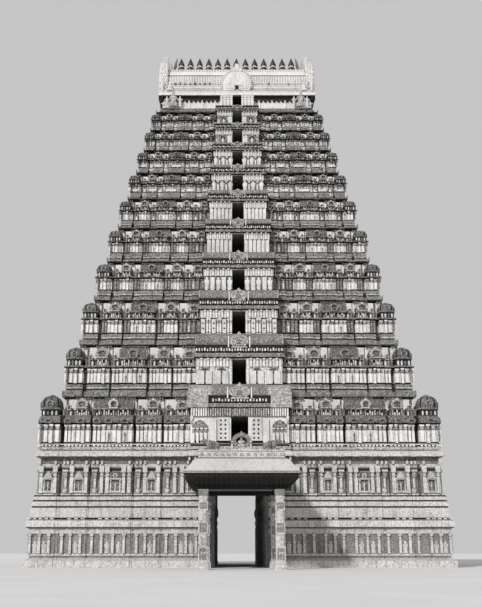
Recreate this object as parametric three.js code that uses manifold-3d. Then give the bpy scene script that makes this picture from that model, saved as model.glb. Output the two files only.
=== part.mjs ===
// A temple gateway tower (gopuram) of eleven tiers on a two-stage stone base, modelled at half size.
// Sizes are metres of the real tower; the group at the end scales them to millimetres of the model.
// +Z is up, -Y is the front, and every piece is written about the tower's own vertical axis.

import * as THREE from "three";
import { mergeVertices } from "three/addons/utils/BufferGeometryUtils.js";
import Module from "manifold-3d";

const wasm = await Module();
wasm.setup();

// Scale and joints
const MODEL_MM = 500;
const BED_JOINT = 0.0006;

// Base of granite
const BASE_HALF_WIDTH = 20.55;
const SIDE_SETBACK = 5.6;
const PLINTH_TOP = 6.85;
const BASE_WALL_TOP = 9.9;
const CORNICE_EDGE = 10.5;
const GATE_HALF_WIDTH = 2.75;
const GATE_CEILING = 9.2;
const LEDGE = 0.5;
const BASE_BAY_INSET = 0.4;
const BASE_CENTRE_PROUD = 0.4;

// Tiers of brick and plaster
const TIERS = 11;
const FIRST_TIER_HEIGHT = 6.4;
const TIER_RATIO = 0.914;
const FIRST_HALF_WIDTH = 20.1;
const SECOND_HALF_WIDTH = 18.2;
const BATTER = 0.2147;
const SLAB_SHARE = 0.22;
const SHELF_SHARE = 0.56;
const NECK_SHARE = 0.63;
const SHRINE_ROOF_SHARE = 0.73;
const SHRINE_TOP_SHARE = 0.965;
const WALL_INSET = 0.35;
const RECESS = 0.4;
const SHRINE_DEPTH = 1;
const SHELF_INSET = 0.12;
const CENTRE_SHARE = 0.26;
const CENTRE_CORNICE_SHARE = 0.75;
const CENTRE_CORNICE_STEP = 0.013;
const CENTRE_CORNICE_RISE = 0.11;
const CENTRE_PROUD = 0.8;
const FIRST_CENTRE_PROUD = 0.45;
const TOP_CENTRE_HALF_WIDTH = 2.1;
const ROOM_HALF_WIDTH = 11.5;
const ROOM_HALF_WIDTH_STEP = 0.39;
const ROOM_HALF_DEPTH = 5.5;
const ROOM_HALF_DEPTH_STEP = 0.33;
const DOOR_HEIGHT_SHARE = 0.417;
const DOOR_HEIGHT_STEP = 0.023;
const TOP_DOOR_HEIGHT_SHARE = 0.7;
const FIRST_DOOR_WIDTH = 1.7;
const SECOND_DOOR_WIDTH = 1.42;
const DOOR_WIDTH_STEP = 0.035;

// Bays of the front and back as shares of a tier's half-width; deep slots part them
const FRONT_BAYS = [[0.887, 1], [0.737, 0.867], [0.526, 0.727], [0.385, 0.513], [0.2, 0.375]];
// Bays of the sides as shares of the half-depth up to the corner bay, which is square
const SIDE_BAYS = [[0.735, 0.965], [0.495, 0.72], [-0.48, 0.48]];
// What stands over the bays: arches about these centres, barrel vaults over these spans
const ARCH_CENTRES = [0.785, 0.43];
const ARCH_HALF = 0.0475;
const FRONT_BARREL = [0.526, 0.686];
const SIDE_BARREL = 0.42;

// Roof
const EAVE_HALF_WIDTH = 9.9;
const EAVE_HALF_DEPTH = 4.3;
const EAVE_THICKNESS = 1.15;
const VAULT_HALF_WIDTH = 8.75;
const VAULT_HALF_DEPTH = 3.6;
const VAULT_HEIGHT = 5.1;
const VAULT_WALL = 0.55;
const VAULT_SWELL = 0.2;
const VAULT_FOOT = 0.88;
const VAULT_STEPS = 7;
const GABLE_THICKNESS = 1.05;
const GABLE_TOP = 65.8;
const ARCH_HALF_WIDTH = 1.75;
const ARCH_PROUD = 0.45;
const ARCH_TOP = 62.3;
const ROOF_WINDOW = 0.45;
const ROOF_WINDOW_SILL = 58.55;
const FINIALS = 13;
const FINIAL_SPACING = 1.22;
const FINIAL_POT_RADIUS = 0.53;
const FINIAL_HEIGHT = 2.05;
const RIDGE_HEIGHT = 0.45;

// Porch of granite, in front of the gate
const PORCH_REACH = 9.6;
const PORCH_EAVE_HALF_WIDTH = 4.95;
const PORCH_OVERHANG = 1.27;
const PORCH_EAVE_EDGE = 8.0;
const PORCH_ROOF_TOP = 9.4;
const PORCH_ROOF_TOP_HALF_WIDTH = 3.8;
const PORCH_BEAM_UNDERSIDE = 6.7;
const PORCH_SOFFIT = 7.1;
const COLUMN_WIDTH = 0.82;
const PARAPET_TOP = 10.1;
const PARAPET_WIDTH = 0.35;
const PARAPET_BACK_ROOM = 0.2;
const NICHE_HALF_WIDTH = 0.9;
const NICHE_HEIGHT = 1.7;
const BULL_LENGTH = 1.5;

const BASE_HALF_DEPTH = BASE_HALF_WIDTH - SIDE_SETBACK;
const BASE_FACE = FIRST_HALF_WIDTH - SIDE_SETBACK - BASE_BAY_INSET;

function solidOf(geometry) {
  const bare = geometry.clone();
  bare.deleteAttribute("normal");
  bare.deleteAttribute("uv");
  const merged = mergeVertices(bare, 1e-5);
  const mesh = new wasm.Mesh({
    numProp: 3,
    vertProperties: merged.attributes.position.array,
    triVerts: new Uint32Array(merged.index.array),
  });
  return new wasm.Manifold(mesh);
}

function block([x0, x1], [y0, y1], [z0, z1]) {
  const box = new THREE.BoxGeometry(x1 - x0, y1 - y0, z1 - z0);
  box.translate((x0 + x1) / 2, (y0 + y1) / 2, (z0 + z1) / 2);
  return solidOf(box);
}

// A closed skin over rings of [x, y, z] points that run anticlockwise seen from above, lowest ring first.
function loft(rings) {
  const count = rings[0].length;
  const corners = [];
  const faces = [];
  rings.forEach((ring) => ring.forEach((point) => corners.push(...point)));
  for (let ring = 0; ring < rings.length - 1; ring += 1) {
    for (let i = 0; i < count; i += 1) {
      const a = ring * count + i;
      const b = ring * count + ((i + 1) % count);
      faces.push(a, b, b + count, a, b + count, a + count);
    }
  }
  const flat = (ring) => ring.map(([x, y]) => new THREE.Vector2(x, y));
  const capOf = (ring) => THREE.ShapeUtils.triangulateShape(flat(ring), []);
  const top = (rings.length - 1) * count;
  capOf(rings[0]).forEach(([a, b, c]) => faces.push(c, b, a));
  capOf(rings[rings.length - 1]).forEach(([a, b, c]) => faces.push(top + a, top + b, top + c));
  const skin = new THREE.BufferGeometry();
  skin.setAttribute("position", new THREE.Float32BufferAttribute(corners, 3));
  skin.setIndex(faces);
  return solidOf(skin);
}

// A plan outline that stays the same from z0 to z1.
function prism(plan, [z0, z1]) {
  return loft([z0, z1].map((z) => plan.map(([x, y]) => [x, y, z])));
}

// An outline of [across, z] points, extruded along X or along Y.
function extruded(outline, axis, [from, to]) {
  const shape = new THREE.Shape(outline.map(([across, z]) => new THREE.Vector2(across, z)));
  const geometry = new THREE.ExtrudeGeometry(shape, { depth: to - from, bevelEnabled: false });
  const turn = new THREE.Matrix4();
  if (axis === "x") {
    turn.makeBasis(new THREE.Vector3(0, 1, 0), new THREE.Vector3(0, 0, 1), new THREE.Vector3(1, 0, 0));
    turn.setPosition(from, 0, 0);
  } else {
    turn.makeBasis(new THREE.Vector3(1, 0, 0), new THREE.Vector3(0, 0, 1), new THREE.Vector3(0, -1, 0));
    turn.setPosition(0, to, 0);
  }
  return solidOf(geometry.applyMatrix4(turn));
}

function union(solids) {
  return solids.reduce((whole, solid) => whole.add(solid));
}

function rectangle(halfWidth, halfDepth) {
  return [[-halfWidth, -halfDepth], [halfWidth, -halfDepth], [halfWidth, halfDepth], [-halfWidth, halfDepth]];
}

// A rectangle whose front and back step out by `proud` over the middle.
function crossPlan(halfWidth, halfDepth, centreHalfWidth, proud) {
  const front = [
    [-halfWidth, -halfDepth],
    [-centreHalfWidth, -halfDepth],
    [-centreHalfWidth, -halfDepth - proud],
    [centreHalfWidth, -halfDepth - proud],
    [centreHalfWidth, -halfDepth],
    [halfWidth, -halfDepth],
  ];
  return [...front, ...front.map(([x, y]) => [-x, -y])];
}

function courses(levels, planAt) {
  return loft(levels.map(([z, inset]) => planAt(inset).map(([x, y]) => [x, y, z])));
}

// Sizes of tier n, counted from 1 above the stone base.
function tier(n) {
  const below = (1 - TIER_RATIO ** (n - 1)) / (1 - TIER_RATIO);
  const floor = CORNICE_EDGE + FIRST_TIER_HEIGHT * below;
  const height = FIRST_TIER_HEIGHT * TIER_RATIO ** (n - 1);
  const secondFloor = CORNICE_EDGE + FIRST_TIER_HEIGHT;
  const halfWidth = n === 1 ? FIRST_HALF_WIDTH : SECOND_HALF_WIDTH - BATTER * (floor - secondFloor);
  const centreHalfWidth = n === TIERS ? TOP_CENTRE_HALF_WIDTH : CENTRE_SHARE * halfWidth;
  return {
    floor,
    height,
    halfWidth,
    halfDepth: halfWidth - SIDE_SETBACK,
    centreHalfWidth,
    centreProud: n === 1 ? FIRST_CENTRE_PROUD : CENTRE_PROUD,
    cornerBay: (1 - FRONT_BAYS[0][0]) * halfWidth,
    slabTop: floor + SLAB_SHARE * height,
    doorHeight: (DOOR_HEIGHT_SHARE + DOOR_HEIGHT_STEP * (n - 1)) * height,
    centreCornice: floor + (CENTRE_CORNICE_SHARE + CENTRE_CORNICE_STEP * (n - 1)) * height,
    doorWidth: n === 1 ? FIRST_DOOR_WIDTH : SECOND_DOOR_WIDTH - DOOR_WIDTH_STEP * (n - 2),
    roomHalfWidth: ROOM_HALF_WIDTH - ROOM_HALF_WIDTH_STEP * (n - 1),
    roomHalfDepth: ROOM_HALF_DEPTH - ROOM_HALF_DEPTH_STEP * (n - 1),
  };
}

const EAVE_EDGE = tier(TIERS + 1).floor;

// The cornice and mouldings that carry a tier, which are also the floor of its room. Its middle is the
// barrel roof of the centre below, which leans back from that centre's face to the sill of the door.
function tierFloor(n) {
  const { floor, height, halfWidth, halfDepth, centreProud, centreHalfWidth } = tier(n);
  const below = tier(n - 1);
  const thickness = SLAB_SHARE * height;
  const bottom = floor + BED_JOINT;
  const slab = courses(
    [
      [bottom, WALL_INSET],
      [bottom + 0.08 * thickness, 0],
      [floor + 0.5 * thickness, 0.12],
      [floor + 0.62 * thickness, 0.4],
      [floor + thickness, 0.3],
    ],
    (inset) => rectangle(halfWidth - inset, halfDepth - inset),
  );
  const face = below.halfDepth + below.centreProud;
  const sill = halfDepth + (n === TIERS ? 0.1 : centreProud - 0.2);
  const right = [
    [face - 0.4, bottom],
    [face - 0.05, bottom + 0.1 * thickness],
    [face - 0.12, floor + 0.5 * thickness],
    [0.75 * face + 0.25 * sill, floor + 0.8 * thickness],
    [sill, floor + thickness],
  ];
  const left = right.map(([across, z]) => [-across, z]).reverse();
  const half = Math.max(below.centreHalfWidth - 0.15, centreHalfWidth);
  return slab.add(extruded([...right, ...left], "x", [-half, half]));
}

function bayBlocks({ halfWidth, halfDepth, cornerBay }, [z0, z1], inset) {
  const x1 = halfWidth - inset;
  const y1 = halfDepth - inset;
  const sideReach = halfDepth - cornerBay;
  const bays = [];
  for (const side of [-1, 1]) {
    for (const [inner, outer] of FRONT_BAYS) {
      const across = [inner * halfWidth, outer === 1 ? x1 : outer * halfWidth];
      bays.push(block(side < 0 ? [-across[1], -across[0]] : across, [-y1, y1], [z0, z1]));
    }
    for (const [inner, outer] of SIDE_BAYS) {
      const along = [inner * sideReach, outer * sideReach];
      bays.push(block([-x1, x1], side < 0 ? [-along[1], -along[0]] : along, [z0, z1]));
    }
  }
  return union(bays);
}

// Outline of a small vaulted shrine, `half` wide to each side of `centre`: its neck, then its roof.
function shrineOutline(centre, half, [foot, eave, crown]) {
  const rise = crown - eave;
  const right = [
    [0.8 * half, foot],
    [0.8 * half, eave],
    [half, eave + 0.25 * rise],
    [0.62 * half, eave + 0.85 * rise],
  ];
  const left = right.map(([across, z]) => [-across, z]).reverse();
  return [...right, [0, crown], ...left].map(([across, z]) => [centre + across, z]);
}

// A corner shrine: a square neck and a square dome over it.
function cornerShrine(x, y, half, [foot, eave, crown]) {
  const squareAt = (size, z) => rectangle(size, size).map(([dx, dy]) => [x + dx, y + dy, z]);
  return loft([
    squareAt(0.85 * half, foot),
    squareAt(0.85 * half, eave),
    squareAt(1.05 * half, eave + 0.1 * (crown - eave)),
    squareAt(0.75 * half, (eave + crown) / 2),
    squareAt(0.12 * half, crown),
  ]);
}

// The row of small shrines that stands on a tier's shelf: domes at the corners, vaults between them.
function shrineRow({ floor, height, halfWidth, halfDepth, cornerBay }) {
  const heights = [NECK_SHARE * height - 0.1, SHRINE_ROOF_SHARE * height, SHRINE_TOP_SHARE * height];
  const levels = heights.map((z) => floor + z);
  const archLevels = [levels[0], levels[1], levels[2] - 0.12 * height];
  const faceY = halfDepth - WALL_INSET;
  const corner = cornerBay / 2;
  const cornerX = halfWidth - WALL_INSET + 0.1 - corner;
  const cornerY = halfDepth - WALL_INSET + 0.1 - corner;
  const sideBarrel = SIDE_BARREL * (halfDepth - cornerBay);
  const shrines = [];
  for (const sx of [-1, 1]) {
    for (const sy of [-1, 1]) {
      shrines.push(cornerShrine(sx * cornerX, sy * cornerY, corner, levels));
      const archSpan = sy < 0 ? [-faceY, -faceY + SHRINE_DEPTH] : [faceY - SHRINE_DEPTH, faceY];
      for (const centre of ARCH_CENTRES) {
        const arch = shrineOutline(sx * halfWidth * centre, ARCH_HALF * halfWidth, archLevels);
        shrines.push(extruded(arch, "y", archSpan));
      }
      const [inner, outer] = FRONT_BARREL.map((share) => share * halfWidth);
      const barrel = shrineOutline(sy * (faceY - SHRINE_DEPTH / 2), SHRINE_DEPTH / 2, levels);
      shrines.push(extruded(barrel, "x", sx < 0 ? [-outer, -inner] : [inner, outer]));
    }
    const side = shrineOutline(sx * (halfWidth - WALL_INSET - SHRINE_DEPTH / 2), SHRINE_DEPTH / 2, levels);
    shrines.push(extruded(side, "y", [-sideBarrel, sideBarrel]));
  }
  return union(shrines);
}

// The centre of a tier's front and back: a wall, its cornice and the neck under its barrel roof.
function centreBlock({ height, halfDepth, centreHalfWidth, centreProud, centreCornice }, bottom, top) {
  const neck = centreCornice + CENTRE_CORNICE_RISE * height;
  return courses(
    [
      [bottom, WALL_INSET],
      [centreCornice, WALL_INSET],
      [centreCornice + 0.02 * height, 0.06],
      [neck - 0.03 * height, 0.14],
      [neck, 0.45],
      [top, 0.45],
    ],
    (inset) => rectangle(centreHalfWidth - inset, halfDepth + centreProud - inset),
  );
}

function tierWall(n) {
  const sizes = tier(n);
  const next = tier(n + 1);
  const { floor, height, halfWidth, halfDepth, slabTop } = sizes;
  const top = next.floor;
  const shelf = [floor + SHELF_SHARE * height, floor + NECK_SHARE * height];
  const bottom = slabTop + BED_JOINT;
  const wallPlan = (inset) => rectangle(halfWidth - inset, halfDepth - inset);
  const pieces = [
    prism(wallPlan(WALL_INSET + RECESS), [bottom, shelf[1]]),
    bayBlocks(sizes, [bottom, shelf[0] + 0.05], WALL_INSET),
    courses(
      [
        [shelf[0], SHELF_INSET],
        [(shelf[0] + shelf[1]) / 2, SHELF_INSET + 0.08],
        [shelf[1], SHELF_INSET + 0.18],
      ],
      wallPlan,
    ),
    prism(rectangle(next.halfWidth - WALL_INSET, next.halfDepth - WALL_INSET), [bottom, top]),
    centreBlock(sizes, bottom, top),
    shrineRow(sizes),
  ];
  const room = block(
    [-sizes.roomHalfWidth, sizes.roomHalfWidth],
    [-sizes.roomHalfDepth, sizes.roomHalfDepth],
    [bottom - 1, top + 1],
  );
  const door = block(
    [-sizes.doorWidth / 2, sizes.doorWidth / 2],
    [-halfDepth - 2, halfDepth + 2],
    [bottom - 1, slabTop + sizes.doorHeight],
  );
  return union(pieces).subtract(room).subtract(door);
}

// The topmost tier has plain walls and a block with a door at each face.
function topTierWall() {
  const sizes = tier(TIERS);
  const { halfWidth, halfDepth, slabTop, roomHalfWidth, roomHalfDepth } = sizes;
  const bottom = slabTop + BED_JOINT;
  const wall = prism(rectangle(halfWidth - 0.75, halfDepth - 0.7), [bottom, EAVE_EDGE]);
  const centre = block(
    [-TOP_CENTRE_HALF_WIDTH, TOP_CENTRE_HALF_WIDTH],
    [-halfDepth - 0.1, halfDepth + 0.1],
    [bottom, EAVE_EDGE],
  );
  const roomHeights = [bottom - 1, EAVE_EDGE + 1];
  const room = block([-roomHalfWidth, roomHalfWidth], [-roomHalfDepth, roomHalfDepth], roomHeights);
  const door = block(
    [-sizes.doorWidth / 2, sizes.doorWidth / 2],
    [-halfDepth - 2, halfDepth + 2],
    [bottom - 1, slabTop + TOP_DOOR_HEIGHT_SHARE * sizes.height],
  );
  return wall.add(centre).subtract(room).subtract(door);
}

// Half of the plinth: two stages of mouldings, cut off at the gate passage.
function plinthHalf(side) {
  const levels = [
    [0, 0],
    [0.7, 0],
    [0.9, 0.45],
    [3.5, 0.45],
    [3.8, 0],
    [4.4, 0.08],
    [4.66, 0.5],
    [5.1, 0.5],
    [5.15, 0.38],
    [5.66, 0.38],
    [5.75, 0.7],
    [6.25, 0.7],
    [6.3, 0.55],
    [6.55, 0.55],
    [PLINTH_TOP, 0.75],
  ];
  const whole = courses(levels, (inset) => rectangle(BASE_HALF_WIDTH - inset, BASE_HALF_DEPTH - inset));
  return whole.intersect(flank(side, GATE_HALF_WIDTH));
}

function flank(side, inner) {
  const reach = BASE_HALF_WIDTH + 5;
  const span = side < 0 ? [-reach, -inner] : [inner, reach];
  return block(span, [-reach, reach], [-1, CORNICE_EDGE + 5]);
}

// Half of the storey wall above the plinth, with its bays and the ledge under the gate's ceiling.
function baseWallHalf(side) {
  const first = tier(1);
  const bottom = PLINTH_TOP + BED_JOINT;
  const recess = BASE_BAY_INSET + RECESS;
  const wall = prism(rectangle(first.halfWidth - recess, first.halfDepth - recess), [bottom, BASE_WALL_TOP]);
  const bays = bayBlocks(first, [bottom, BASE_WALL_TOP], BASE_BAY_INSET);
  const centre = block(
    [-first.centreHalfWidth, first.centreHalfWidth],
    [-BASE_FACE, BASE_FACE],
    [bottom, BASE_WALL_TOP],
  );
  const ledge = block(
    [-GATE_HALF_WIDTH - LEDGE, GATE_HALF_WIDTH + LEDGE],
    [-BASE_HALF_WIDTH, BASE_HALF_WIDTH],
    [GATE_CEILING, BASE_WALL_TOP + 1],
  );
  return union([wall, bays, centre]).intersect(flank(side, GATE_HALF_WIDTH)).subtract(ledge);
}

function gateCeiling() {
  const half = GATE_HALF_WIDTH + LEDGE - BED_JOINT;
  return block([-half, half], [-BASE_FACE, BASE_FACE], [GATE_CEILING + BED_JOINT, BASE_WALL_TOP]);
}

// The main cornice, which is also the floor of the first tier.
function baseCornice() {
  const first = tier(1);
  const planAt = (inset) =>
    crossPlan(first.halfWidth - inset, first.halfDepth - inset, first.centreHalfWidth, BASE_CENTRE_PROUD);
  return courses(
    [
      [BASE_WALL_TOP + BED_JOINT, 0.55],
      [CORNICE_EDGE - 0.1, 0.3],
      [CORNICE_EDGE, 0],
      [CORNICE_EDGE + 0.45, 0.12],
      [CORNICE_EDGE + 0.65, 0.5],
      [first.slabTop, 0.3],
    ],
    planAt,
  );
}

function roofEave() {
  const bottom = EAVE_EDGE + BED_JOINT;
  const planAt = (inset) => rectangle(EAVE_HALF_WIDTH - inset, EAVE_HALF_DEPTH - inset);
  return courses(
    [
      [bottom, 0.6],
      [bottom + 0.3, 0],
      [bottom + 0.75, 0.1],
      [EAVE_EDGE + EAVE_THICKNESS, 0.5],
    ],
    planAt,
  );
}

// Section of the great vault: it swells a little above its foot and closes in a round crown.
function vaultSection(halfDepth, height, base) {
  const swell = VAULT_SWELL * height;
  const right = [[VAULT_FOOT * halfDepth, base]];
  for (let i = 0; i <= VAULT_STEPS; i += 1) {
    const angle = (i / VAULT_STEPS) * (Math.PI / 2);
    right.push([halfDepth * Math.cos(angle), base + swell + (height - swell) * Math.sin(angle)]);
  }
  const left = right.slice(0, -1).map(([across, z]) => [-across, z]);
  return [...right, ...left.reverse()];
}

function roofVault() {
  const base = EAVE_EDGE + EAVE_THICKNESS + BED_JOINT;
  const span = [-VAULT_HALF_WIDTH, VAULT_HALF_WIDTH];
  const shell = extruded(vaultSection(VAULT_HALF_DEPTH, VAULT_HEIGHT, base), "x", span);
  const inner = vaultSection(VAULT_HALF_DEPTH - VAULT_WALL, VAULT_HEIGHT - VAULT_WALL, base - 0.01);
  const hollow = extruded(inner, "x", [span[0] + VAULT_WALL, span[1] - VAULT_WALL]);
  return shell.subtract(hollow).subtract(roofWindowCut());
}

function roofWindowCut() {
  return block(
    [-ROOF_WINDOW / 2, ROOF_WINDOW / 2],
    [-VAULT_HALF_DEPTH - 2, VAULT_HALF_DEPTH + 2],
    [ROOF_WINDOW_SILL, ROOF_WINDOW_SILL + ROOF_WINDOW],
  );
}

// The horseshoe outline of a gable or dormer arch, with a crest at its top.
function horseshoe(half, z0, z1) {
  const rise = z1 - z0;
  const right = [
    [0.92 * half, z0],
    [1.04 * half, z0 + 0.14 * rise],
    [1.03 * half, z0 + 0.36 * rise],
    [0.87 * half, z0 + 0.56 * rise],
    [0.55 * half, z0 + 0.7 * rise],
    [0.22 * half, z0 + 0.78 * rise],
    [0.12 * half, z1],
  ];
  const left = right.map(([across, z]) => [-across, z]).reverse();
  return [...right, ...left];
}

function roofGable(side) {
  const base = EAVE_EDGE + EAVE_THICKNESS + BED_JOINT;
  const inner = VAULT_HALF_WIDTH + BED_JOINT;
  const span = side < 0 ? [-inner - GABLE_THICKNESS, -inner] : [inner, inner + GABLE_THICKNESS];
  return extruded(horseshoe(VAULT_HALF_DEPTH, base, GABLE_TOP), "x", span);
}

// The dormer arch on the front or back of the vault, seated against its curve.
function roofArch(side) {
  const base = EAVE_EDGE + EAVE_THICKNESS + BED_JOINT;
  const outer = VAULT_HALF_DEPTH + ARCH_PROUD;
  const span = side < 0 ? [-outer, -1] : [1, outer];
  const arch = extruded(horseshoe(ARCH_HALF_WIDTH, base, ARCH_TOP), "y", span);
  const section = vaultSection(VAULT_HALF_DEPTH, VAULT_HEIGHT, base);
  const vault = extruded(section, "x", [-VAULT_HALF_WIDTH, VAULT_HALF_WIDTH]);
  const ridgeRoom = block([-3, 3], [-1.2, 1.2], [base, ARCH_TOP + 1]);
  const seated = arch.subtract(vault).subtract(ridgeRoom).subtract(roofWindowCut());
  return seated.translate([0, side * BED_JOINT, 0]);
}

// One finial: a pot on a flared foot, with a pointed bud over it.
function finialProfile() {
  const r = FINIAL_POT_RADIUS;
  const h = FINIAL_HEIGHT;
  return [
    [0, 0],
    [0.55 * r, 0],
    [0.45 * r, 0.08 * h],
    [r, 0.22 * h],
    [0.97 * r, 0.36 * h],
    [0.45 * r, 0.47 * h],
    [0.8 * r, 0.54 * h],
    [0.72 * r, 0.64 * h],
    [0.3 * r, 0.84 * h],
    [0, h],
  ].map(([radius, z]) => new THREE.Vector2(radius, z));
}

// The ridge of the vault and the row of finials that it carries.
function roofRidge() {
  const crown = EAVE_EDGE + EAVE_THICKNESS + VAULT_HEIGHT + 2 * BED_JOINT;
  const halfLength = VAULT_HALF_WIDTH - 0.2;
  const pieces = [block([-halfLength, halfLength], [-0.45, 0.45], [crown, crown + RIDGE_HEIGHT])];
  for (let i = 0; i < FINIALS; i += 1) {
    const finial = new THREE.LatheGeometry(finialProfile(), 8);
    finial.rotateX(Math.PI / 2);
    finial.translate((i - (FINIALS - 1) / 2) * FINIAL_SPACING, 0, crown + RIDGE_HEIGHT - 0.02);
    pieces.push(solidOf(finial));
  }
  return union(pieces);
}

const PORCH_FRONT = -BASE_HALF_DEPTH - PORCH_REACH;
const COLUMN_X = PORCH_EAVE_HALF_WIDTH - PORCH_OVERHANG - COLUMN_WIDTH / 2;
const COLUMN_FRONT_Y = PORCH_FRONT + PORCH_OVERHANG + COLUMN_WIDTH / 2;
const COLUMN_REAR_Y = -BASE_HALF_DEPTH - COLUMN_WIDTH / 2 - 0.3;

function porchColumn(x, y) {
  const half = COLUMN_WIDTH / 2;
  const squareAt = (size, z) => rectangle(size, size).map(([dx, dy]) => [x + dx, y + dy, z]);
  const top = PORCH_BEAM_UNDERSIDE - BED_JOINT;
  return loft([
    squareAt(half + 0.12, 0),
    squareAt(half + 0.12, 0.55),
    squareAt(half, 0.65),
    squareAt(half, top - 0.45),
    squareAt(half + 0.28, top - 0.15),
    squareAt(half + 0.28, top),
  ]);
}

function porchBeam(y) {
  const halfLength = COLUMN_X + COLUMN_WIDTH / 2 + 0.3;
  const half = COLUMN_WIDTH / 2;
  const heights = [PORCH_BEAM_UNDERSIDE, PORCH_SOFFIT - BED_JOINT];
  return block([-halfLength, halfLength], [y - half, y + half], heights);
}

// The porch's roof: a soffit that flares out to the eave and a curved slope over it.
function porchRoof() {
  const back = -BASE_FACE - BED_JOINT;
  const ringAt = (inset, z) => {
    const half = PORCH_EAVE_HALF_WIDTH - inset;
    const front = PORCH_FRONT + inset;
    return [[-half, front, z], [half, front, z], [half, back, z], [-half, back, z]];
  };
  const slope = PORCH_EAVE_HALF_WIDTH - PORCH_ROOF_TOP_HALF_WIDTH;
  const rise = PORCH_ROOF_TOP - PORCH_EAVE_EDGE;
  const roof = loft([
    ringAt(0.95, PORCH_SOFFIT),
    ringAt(0, PORCH_EAVE_EDGE),
    ringAt(0.02, PORCH_EAVE_EDGE + 0.12),
    ringAt(0.3 * slope, PORCH_EAVE_EDGE + 0.35 * rise),
    ringAt(0.62 * slope, PORCH_EAVE_EDGE + 0.72 * rise),
    ringAt(slope, PORCH_ROOF_TOP),
  ]);
  const plinthRoom = block([-6, 6], [-BASE_HALF_DEPTH, 0], [PORCH_SOFFIT - 1, PORCH_SOFFIT]);
  return roof.subtract(plinthRoom);
}

function porchParapet() {
  const half = PORCH_ROOF_TOP_HALF_WIDTH - 0.08;
  const front = PORCH_FRONT + PORCH_EAVE_HALF_WIDTH - half;
  const back = -BASE_HALF_DEPTH - PARAPET_BACK_ROOM;
  const z = [PORCH_ROOF_TOP + BED_JOINT, PARAPET_TOP];
  const outside = block([-half, half], [front, back], z);
  const innerHalf = half - PARAPET_WIDTH;
  const inside = block([-innerHalf, innerHalf], [front + PARAPET_WIDTH, back + 1], [z[0] - 1, z[1] + 1]);
  return outside.subtract(inside);
}

// The arched niche that stands on the middle of the parapet, with a seated figure in it.
function porchNiche() {
  const y = PORCH_FRONT + PORCH_EAVE_HALF_WIDTH - PORCH_ROOF_TOP_HALF_WIDTH + 0.12;
  const base = PARAPET_TOP + BED_JOINT;
  const arch = extruded(horseshoe(NICHE_HALF_WIDTH, base, base + NICHE_HEIGHT), "y", [y, y + 0.3]);
  const hollow = extruded(horseshoe(0.6, base + 0.25, base + 1.15), "y", [y - 1, y + 0.15]);
  const figure = new THREE.SphereGeometry(0.3, 8, 6);
  figure.scale(1, 0.8, 1.6);
  figure.translate(0, y + 0.2, base + 0.6);
  return arch.subtract(hollow).add(solidOf(figure));
}

// A recumbent bull on the parapet, looking outwards.
function porchBull(side) {
  const y = PORCH_FRONT + PORCH_EAVE_HALF_WIDTH - PORCH_ROOF_TOP_HALF_WIDTH + 0.3;
  const base = PARAPET_TOP + BED_JOINT;
  const x = side * 2.6;
  const body = new THREE.SphereGeometry(0.5, 10, 8);
  body.scale(BULL_LENGTH, 0.5, 0.75);
  body.translate(x, y, base + 0.34);
  const head = new THREE.SphereGeometry(0.28, 8, 6);
  head.translate(x + side * 0.6 * BULL_LENGTH * 0.75, y, base + 0.75);
  const seat = block([x - 0.6, x + 0.6], [y - 0.17, y + 0.17], [base, base + 0.3]);
  const ground = block([x - 3, x + 3], [y - 3, y + 3], [base - 3, base]);
  return union([solidOf(body), solidOf(head), seat]).subtract(ground);
}

const FINISHES = {
  granite: { color: 0xbdbab3, roughness: 0.85, metalness: 0 },
  limewash: { color: 0xd9d6ce, roughness: 0.8, metalness: 0 },
  weathered: { color: 0x85827b, roughness: 0.9, metalness: 0 },
  copper: { color: 0x4a4640, roughness: 0.55, metalness: 0.6 },
};

const tower = new THREE.Group();
tower.scale.setScalar(MODEL_MM);
tower.position.y = (PORCH_REACH / 2) * MODEL_MM;

function add(name, solid, finish) {
  const { vertProperties, triVerts, numProp } = solid.getMesh();
  if (numProp !== 3) {
    throw new Error(`${name} has ${numProp} numbers a vertex`);
  }
  const geometry = new THREE.BufferGeometry();
  geometry.setAttribute("position", new THREE.BufferAttribute(vertProperties, 3));
  geometry.setIndex(new THREE.BufferAttribute(triVerts, 1));
  geometry.computeVertexNormals();
  const mesh = new THREE.Mesh(geometry, new THREE.MeshStandardMaterial(FINISHES[finish]));
  mesh.name = name;
  tower.add(mesh);
}

for (const [name, side] of [["left", -1], ["right", 1]]) {
  add(`plinth_${name}`, plinthHalf(side), "granite");
  add(`base_wall_${name}`, baseWallHalf(side), "granite");
  add(`roof_gable_${name}`, roofGable(side), "limewash");
  add(`porch_bull_${name}`, porchBull(side), "weathered");
}
add("gate_ceiling", gateCeiling(), "granite");
add("base_cornice", baseCornice(), "granite");
for (let n = 1; n <= TIERS; n += 1) {
  const number = String(n).padStart(2, "0");
  if (n > 1) {
    add(`tier_${number}_floor`, tierFloor(n), "weathered");
  }
  add(`tier_${number}_wall`, n === TIERS ? topTierWall() : tierWall(n), "limewash");
}
add("roof_eave", roofEave(), "limewash");
add("roof_vault", roofVault(), "limewash");
add("roof_arch_front", roofArch(-1), "limewash");
add("roof_arch_back", roofArch(1), "limewash");
add("roof_ridge", roofRidge(), "copper");
for (const [row, y] of [["front", COLUMN_FRONT_Y], ["rear", COLUMN_REAR_Y]]) {
  add(`porch_column_${row}_left`, porchColumn(-COLUMN_X, y), "granite");
  add(`porch_column_${row}_right`, porchColumn(COLUMN_X, y), "granite");
  add(`porch_beam_${row}`, porchBeam(y), "granite");
}
add("porch_roof", porchRoof(), "granite");
add("porch_parapet", porchParapet(), "granite");
add("porch_niche", porchNiche(), "weathered");

const part = new THREE.Group();
part.add(tower);

export default part;
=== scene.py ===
import math
from collections import namedtuple

import bpy
import numpy as np
from bpy.props import FloatProperty, IntProperty, PointerProperty
from mathutils import Matrix, Vector


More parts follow.
